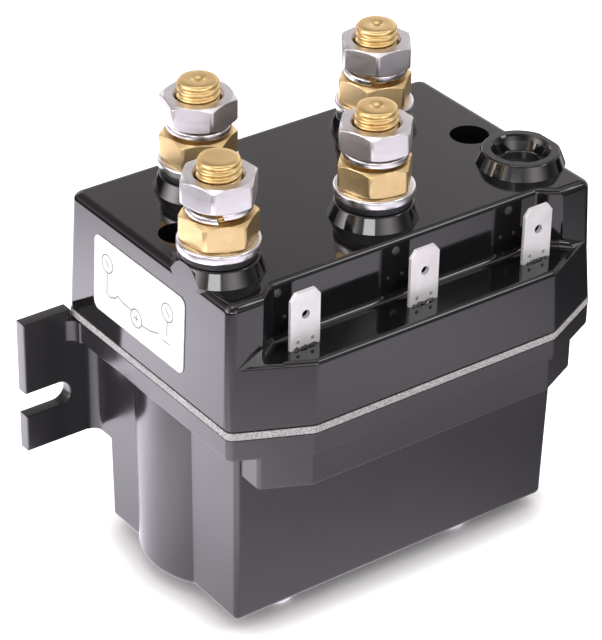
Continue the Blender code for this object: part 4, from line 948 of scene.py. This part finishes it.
def thread_radius(z, share):
    """The thread's radius at a height and at a share of a turn, with its chamfered end."""
    inner = THREAD_RADIUS - THREAD_DEPTH
    wave = abs((z / THREAD_PITCH - share) % 1.0 - 0.5) * 2
    shape = min(1.0, max(0.0, (wave - 0.14) / 0.72))
    shape = shape * shape * (3 - 2 * shape)
    radius = THREAD_RADIUS - THREAD_DEPTH * (1 - shape)
    start = THREAD_TOP - THREAD_CHAMFER
    if z > start:
        part = (z - start) / THREAD_CHAMFER
        fall = THREAD_CHAMFER * 0.85 * (1 - sqrt(max(0.0, 1 - part * part)))
        radius = min(radius, THREAD_RADIUS - 0.12 - fall)
    return min(radius, inner) if z < THREAD_LOW + 0.5 else radius


def stud_piece(number, centre):
    """A threaded end with a real helix, over a plain shank and a square head."""
    steps, rows_per_turn = 72, 12
    height = THREAD_TOP - THREAD_LOW
    rows = int(round(height / THREAD_PITCH * rows_per_turn))
    rings = []
    for j in range(rows + 1):
        z = THREAD_LOW + height * j / rows
        rings.append([(thread_radius(z, i / steps), z) for i in range(steps)])
    end = [(2.6, 21.3), (1.5, 21.3), (1.2, 21.26), (0.8, 21.0), (0.35, 20.8)]
    if number == 1:
        end = [(2.6, 21.3), (1.5, 21.28), (0.5, 21.27)]
    rings += [[point] * steps for point in end]
    x, y = centre
    around = circle(steps)
    bm = loft([[(x + r * c, y + r * s, z) for (r, z), (c, s) in zip(ring, around)]
               for ring in rings])
    rod(3.6, -5.0, 3.02, 48, centre, bm)
    head = rounded(rectangle(4.1, 4.1, -4.1), 0.8)
    prism([(x + px, y + py) for px, py in head], -6.8, -2.8, bm)
    dress(new_object(bm, f"stud_{number}"), STUD_BRASS, f"terminal_stud_{number}",
          angle=40.0, weighted=False)


def nut_outline():
    """A hexagon with rounded corners and extra points along its sides."""
    count = 14
    arcs = rounded(hexagon(NUT_FLATS, pi / 6), 0.95, 8)
    outline = []
    for i, point in enumerate(arcs):
        here, after = Vector(point), Vector(arcs[(i + 1) % len(arcs)])
        outline.append(here)
        if (after - here).length > 2.0:
            outline += [here.lerp(after, k / count) for k in range(1, count)]
    return outline


def nut_piece(name, centre, span, turn, material, replaces):
    """A nut whose faces are turned to a shallow cone, so that each side ends in a curve."""
    low, high = span
    cone, soft, bevel = tan(radians(28.0)), 0.14, 0.45
    start = NUT_FLATS * 0.985
    spin = Matrix.Rotation(turn, 2)
    loops = [[] for _ in range(12)]
    for point in nut_outline():
        r = point.length
        unit = spin @ (point / r)
        drop = max(0.0, (r - start)) * cone + 0.05
        near, rim = min(start, r - 0.02), r - soft * 0.4
        section = [
            (NUT_BORE, low + 0.7), (NUT_BORE + bevel, low), (start - 0.25, low),
            (near, low + 0.02), (rim, low + drop), (r, low + drop + soft),
            (r, high - drop - soft), (rim, high - drop), (near, high - 0.02),
            (start - 0.25, high), (NUT_BORE + bevel, high), (NUT_BORE, high - 0.7),
        ]
        for loop, (radius, z) in zip(loops, section):
            loop.append((centre[0] + unit.x * radius, centre[1] + unit.y * radius, z))
    dress(new_object(loft(loops, closed=True), name), material, replaces, angle=24.0)


def ring_piece(name, centre, outer, span, edge, material, replaces):
    low, high = span
    corners = [(WASHER_BORE, low), (outer, low), (outer, high), (WASHER_BORE, high)]
    section = rounded(corners, [0.1, edge, edge, 0.1], 5)
    dress(new_object(turned(section, ROUND, centre), name), material, replaces, angle=50.0,
          weighted=False)


def split_piece(number, centre, span, turn):
    """A spring washer, cut through on a slant, with one end a little above the other."""
    low, high = span
    outer, thick, steps = 5.9, 1.32, 120
    rise = high - low - thick
    slit, lean = 1.0 / outer, -0.5 / outer
    corners = [(WASHER_BORE, 0.0), (outer, 0.0), (outer, thick), (WASHER_BORE, thick)]
    section = rounded(corners, [0.25, 0.35, 0.35, 0.25], 4)
    rings = []
    for k in range(steps + 1):
        part = k / steps
        ring = []
        for r, z in section:
            slant = lean * (z / thick - 0.5)
            first, last = slit / 2 + slant, TURN - slit / 2 + slant
            angle = first + (last - first) * part + turn
            height = low + rise * (1.0 - part) + z
            ring.append((centre[0] + r * cos(angle), centre[1] + r * sin(angle), height))
        rings.append(ring)
    dress(new_object(loft(rings), f"split_washer_{number}"), POLISHED,
          f"spring_washer_{number}", angle=50.0, weighted=False)


def make_stacks():
    for n, (centre, turns) in enumerate(zip(STUDS, TURNS), 1):
        brass_turn, split_turn, steel_turn = (radians(turn) for turn in turns)
        stud_piece(n, centre)
        ring_piece(f"seal_{n}", centre, 6.9, SEAL, 0.25, RUBBER,
                   f"stud_seal_{n}")
        ring_piece(f"plain_washer_{n}", centre, 7.4, FLAT_WASHER, 0.45, POLISHED,
                   f"flat_washer_{n}")
        nut_piece(f"lower_nut_{n}", centre, BRASS_NUT, brass_turn, BRASS, f"brass_nut_{n}")
        split_piece(n, centre, SPLIT_WASHER, split_turn)
        nut_piece(f"upper_nut_{n}", centre, STEEL_NUT, steel_turn, STEEL,
                  f"steel_nut_{n}")


# ---- tabs and screws


def make_tabs():
    """Blade tabs with softened edges, a round hole and two dimples."""
    wide, leg, top, low, through = 3.15, 2.1, 11.2, -6.5, 2.0
    holes = ((0.0, top - 4.6, 0.85), (-1.55, 1.45, 0.38), (1.55, 1.45, 0.38))
    edge = ((0.14, -0.4), (0.04, -0.36), (0.0, -0.26), (0.0, 0.26), (0.04, 0.36), (0.14, 0.4))
    right = [(leg, low), (leg, -0.1), (wide, 0.02), (wide, top - 1.4), (wide - 1.12, top)]
    outline = right + mirrored(right[::-1], -1)
    for n, x in enumerate(TAB_X, 1):
        rings = []
        for inward, y in edge:
            shape = offset(outline, -inward)
            rings.append([(x + px, TAB_Y + y, z - SHELF_DROP) for px, z in shape])
        tab = new_object(loft(rings), f"blade_{n}")
        tools = []
        for dx, z, radius in holes:
            hole = rod(radius, -through, through, 40)
            bmesh.ops.rotate(hole, verts=hole.verts, matrix=Matrix.Rotation(QUARTER, 3, "X"))
            bmesh.ops.translate(hole, verts=hole.verts, vec=(x + dx, TAB_Y, z - SHELF_DROP))
            tools.append(new_object(hole, "tab_hole"))
        boolean(tab, tools, "DIFFERENCE")
        dress(tab, TIN, f"blade_tab_{n}")


def make_seats():
    """The ragged line of plastic where each tab leaves the shelf."""
    for n, x in enumerate(TAB_X, 1):
        rings = []
        for share, height in ((1.0, -0.3), (1.0, 0.0), (0.75, 0.55), (0.35, 1.0), (0.0, 1.05)):
            ring = []
            for c, s in circle(56):
                wide = (abs(c) ** 4 + abs(s) ** 4) ** -0.25
                jag = noise.noise(Vector((c * 3.1 + n * 7.0, s * 3.1, height * 1.5)))
                grow = 0.55 * share * (1.0 + 0.7 * jag)
                px = x + c * wide * (2.0 + grow)
                py = TAB_Y + s * wide * (0.36 + grow)
                lift = noise.noise(Vector((px * 1.7, n * 3.0, 0.0)))
                ring.append((px, py, -SHELF_DROP + height * (0.42 + 0.45 * lift)))
            rings.append(ring)
        dress(new_object(loft(rings), f"tab_seat_{n}"), GLOSS, angle=60.0,
              weighted=False)


def cap_screw(word, centre):
    """A cover screw: a cap head with a hexagon socket."""
    seat, end, shank, head = -8.9, FLANGE_TOP - 5.0, 1.95, 3.3
    top = seat + 2.6
    profile = [(0.0, end), (1.6, end), (shank, end + 0.4), (shank, seat), (head, seat),
               (head, top), (0.0, top)]
    profile = rounded(profile, [0, 0, 0, 0, 0.15, 0.35, 0], 5)
    screw = new_object(turned(profile, 72, centre), f"cap_screw_{word}")
    socket = prism(hexagon(1.5, 0.0, centre), top - 1.5, top + 1.0)
    boolean(screw, [new_object(socket, "socket")], "DIFFERENCE")
    dress(screw, ZINC, f"cover_screw_{word}")


def foot_screw(number, x, y):
    """A screw under the base: a pan head with a cross recess."""
    seat, end, shank, head = BASE_BOTTOM - 0.03, -65.5, 1.4, 2.9
    profile = [(0.0, FOOT_BOTTOM), (head, FOOT_BOTTOM), (head, seat), (shank, seat), (shank, end),
               (0.0, end)]
    profile = rounded(profile, [0, 0.9, 0.3, 0, 0.2, 0], 6)
    screw = new_object(turned(profile, 72, (x, y)), f"foot_screw_{number}")
    cross = []
    for half_x, half_y in ((1.6, 0.28), (0.28, 1.6)):
        arm = box(x - half_x, x + half_x, y - half_y, y + half_y, FOOT_BOTTOM - 0.5,
                  FOOT_BOTTOM + 0.7)
        cross.append(new_object(arm, "cross"))
    boolean(screw, cross, "DIFFERENCE")
    dress(screw, ZINC, f"base_screw_{number}")


def make_screws():
    for word, centre in zip(("left", "right"), SCREWS):
        cap_screw(word, centre)
    feet = [(x, y) for y in FOOT_Y for x in FOOT_X]
    for number, (x, y) in enumerate(feet, 1):
        foot_screw(number, x, y)


def make_springs():
    """Return springs as a round wire with closed ends."""
    wire, turns, per_turn, around, stroke = 0.4, 4.5, 32, 12, 3.0
    steps = int(turns * per_turn)
    for n in (1, 2):
        name = f"return_spring_{n}"
        low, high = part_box(name)
        centre = (low + high) * (0.5 / MM) - SHIFT
        radius = (high.x - low.x) / 2 / MM - wire
        bottom, top = low.z / MM - SHIFT.z + wire, high.z / MM - SHIFT.z - wire
        rings = []
        for k in range(steps + 1):
            part = k / steps
            angle = TURN * turns * part
            rise = min(1.0, max(0.0, (part * turns - 0.6) / (turns - 1.2)))
            along = Vector((cos(angle), sin(angle), 0.0))
            middle = Vector((centre.x, centre.y, bottom + (top - bottom) * rise)) + along * radius
            rings.append([middle + along * (wire * c) + Vector((0, 0, wire * s))
                          for c, s in circle(around)])
        spring = new_object(loft(rings), f"coil_spring_{n}")
        dress(spring, SPRING, name, angle=60.0, weighted=False)
        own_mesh(spring)


# ---- floor, light and camera


def paint_floor(made):
    """White to the camera, and to what mirrors it a table that glows in soft patches of painted
    light.
    """
    made.node_tree.nodes.clear()
    out = node(made, "OutputMaterial")
    path = node(made, "LightPath").outputs
    where = node(made, "NewGeometry").outputs["Position"]
    total = 0.0
    for x, y, half_x, half_y, strength in GLOW:
        centre = at(x, y, 0.0)
        moved = vectors(made, "SUBTRACT", where, (centre.x, centre.y, 0.0))
        scaled = vectors(made, "MULTIPLY", moved, (1.0 / (half_x * MM), 1.0 / (half_y * MM), 0.0))
        far = vectors(made, "DOT_PRODUCT", scaled, scaled)
        share = maths(made, "EXPONENT", maths(made, "MULTIPLY", far, GLOW_FALL))
        total = maths(made, "ADD", total, maths(made, "MULTIPLY", share, strength))
    # Painted light: the table glows in these patches only for glossy and transmission rays, as a
    # reflection of studio lights
    painted_glow = node(made, "Emission", Color=GLOW_LIGHT_TINT)
    link(made, total, painted_glow.inputs["Strength"])

    # The white grows darker where the object comes close, which gives the contact shadow
    near = node(made, "AmbientOcclusion", Distance=CONTACT_REACH * MM)
    near.samples = CONTACT_SAMPLES
    open_share = maths(made, "POWER", near.outputs["AO"], CONTACT_POWER)
    white = node(made, "Emission", Color=FLOOR_WHITE)
    link(made, maths(made, "MULTIPLY", path["Is Camera Ray"], open_share), white.inputs["Strength"])
    plain = node(made, "AddShader")
    link(made, node(made, "BsdfDiffuse", Color=FLOOR_COLOUR).outputs[0], plain.inputs[0])
    link(made, white.outputs[0], plain.inputs[1])
    mix = node(made, "MixShader")
    either = maths(made, "MAXIMUM", path["Is Glossy Ray"], path["Is Transmission Ray"])
    for source, target in zip((either, plain.outputs[0], painted_glow.outputs[0]), mix.inputs):
        link(made, source, target)
    link(made, mix.outputs[0], out.inputs["Surface"])


def make_floor():
    bm = bmesh.new()
    corners = rectangle(FLOOR_HALF, -FLOOR_HALF, FLOOR_HALF)
    bm.faces.new([bm.verts.new((-x, y, -SHIFT.z)) for x, y in corners])
    floor = new_object(bm, "floor")
    made = bpy.data.materials.new("white_table")
    made.use_nodes = True
    paint_floor(made)
    floor.data.materials.append(made)


def make_sky():
    world = bpy.data.worlds.new("studio")
    bpy.context.scene.world = world
    world.use_nodes = True
    world.node_tree.nodes.clear()
    out = node(world, "OutputWorld")
    back = node(world, "Background", Color=SKY_TINT)
    coords = node(world, "TexCoord").outputs["Generated"]
    total = SKY_BASE
    for x, y, z, strength in SKY:
        facing = vectors(world, "DOT_PRODUCT", coords, tuple(Vector((x, y, z)).normalized()))
        share = maths(world, "POWER", maths(world, "MAXIMUM", facing, 0.0), SKY_SHARPNESS)
        total = maths(world, "ADD", total, maths(world, "MULTIPLY", share, strength))
    link(world, total, back.inputs["Strength"])
    link(world, back.outputs[0], out.inputs["Surface"])


def make_boxes():
    for name, (direction, distance, width, height, radiance) in BOXES.items():
        data = bpy.data.lights.new(name, "AREA")
        data.shape = "RECTANGLE"
        data.size, data.size_y = width * MM, height * MM
        data.energy = radiance * pi * width * height * MM * MM
        lamp = add(name, data)
        aim = Vector(direction).normalized()
        lamp.location = at(0.0, 0.0, -15.0) + aim * distance * MM
        lamp.rotation_mode = "QUATERNION"
        lamp.rotation_quaternion = aim.to_track_quat("Z", "Y")
        lamp.visible_camera = False


def make_camera():
    turn, down, roll = (radians(a) for a in (CAMERA_TURN, CAMERA_DOWN, CAMERA_ROLL))
    forward = Vector((sin(turn) * cos(down), cos(turn) * cos(down), -sin(down)))
    right = Vector((cos(turn), -sin(turn), 0.0))
    up = right.cross(forward)
    right, up = cos(roll) * right + sin(roll) * up, cos(roll) * up - sin(roll) * right
    stand = CAMERA_AIM - forward * CAMERA_BACK - right * CAMERA_RIGHT - up * CAMERA_UP
    data = bpy.data.cameras.new("camera")
    data.sensor_width = SENSOR
    data.lens = FOCAL_PIXELS / PHOTO_HEIGHT * SENSOR
    data.clip_start, data.clip_end = 0.01, 50.0
    camera = add("camera", data)
    facing = Matrix((right, up, -forward)).transposed()
    camera.matrix_world = Matrix.Translation(at(*stand)) @ facing.to_4x4()
    bpy.context.scene.camera = camera


make_camera()
paint_inner()
make_cover()
make_gasket()
make_base()
make_label()
make_stacks()
make_tabs()
make_seats()
make_screws()
make_springs()
make_floor()
make_sky()
make_boxes()
bpy.context.scene.view_settings.view_transform = "Standard"
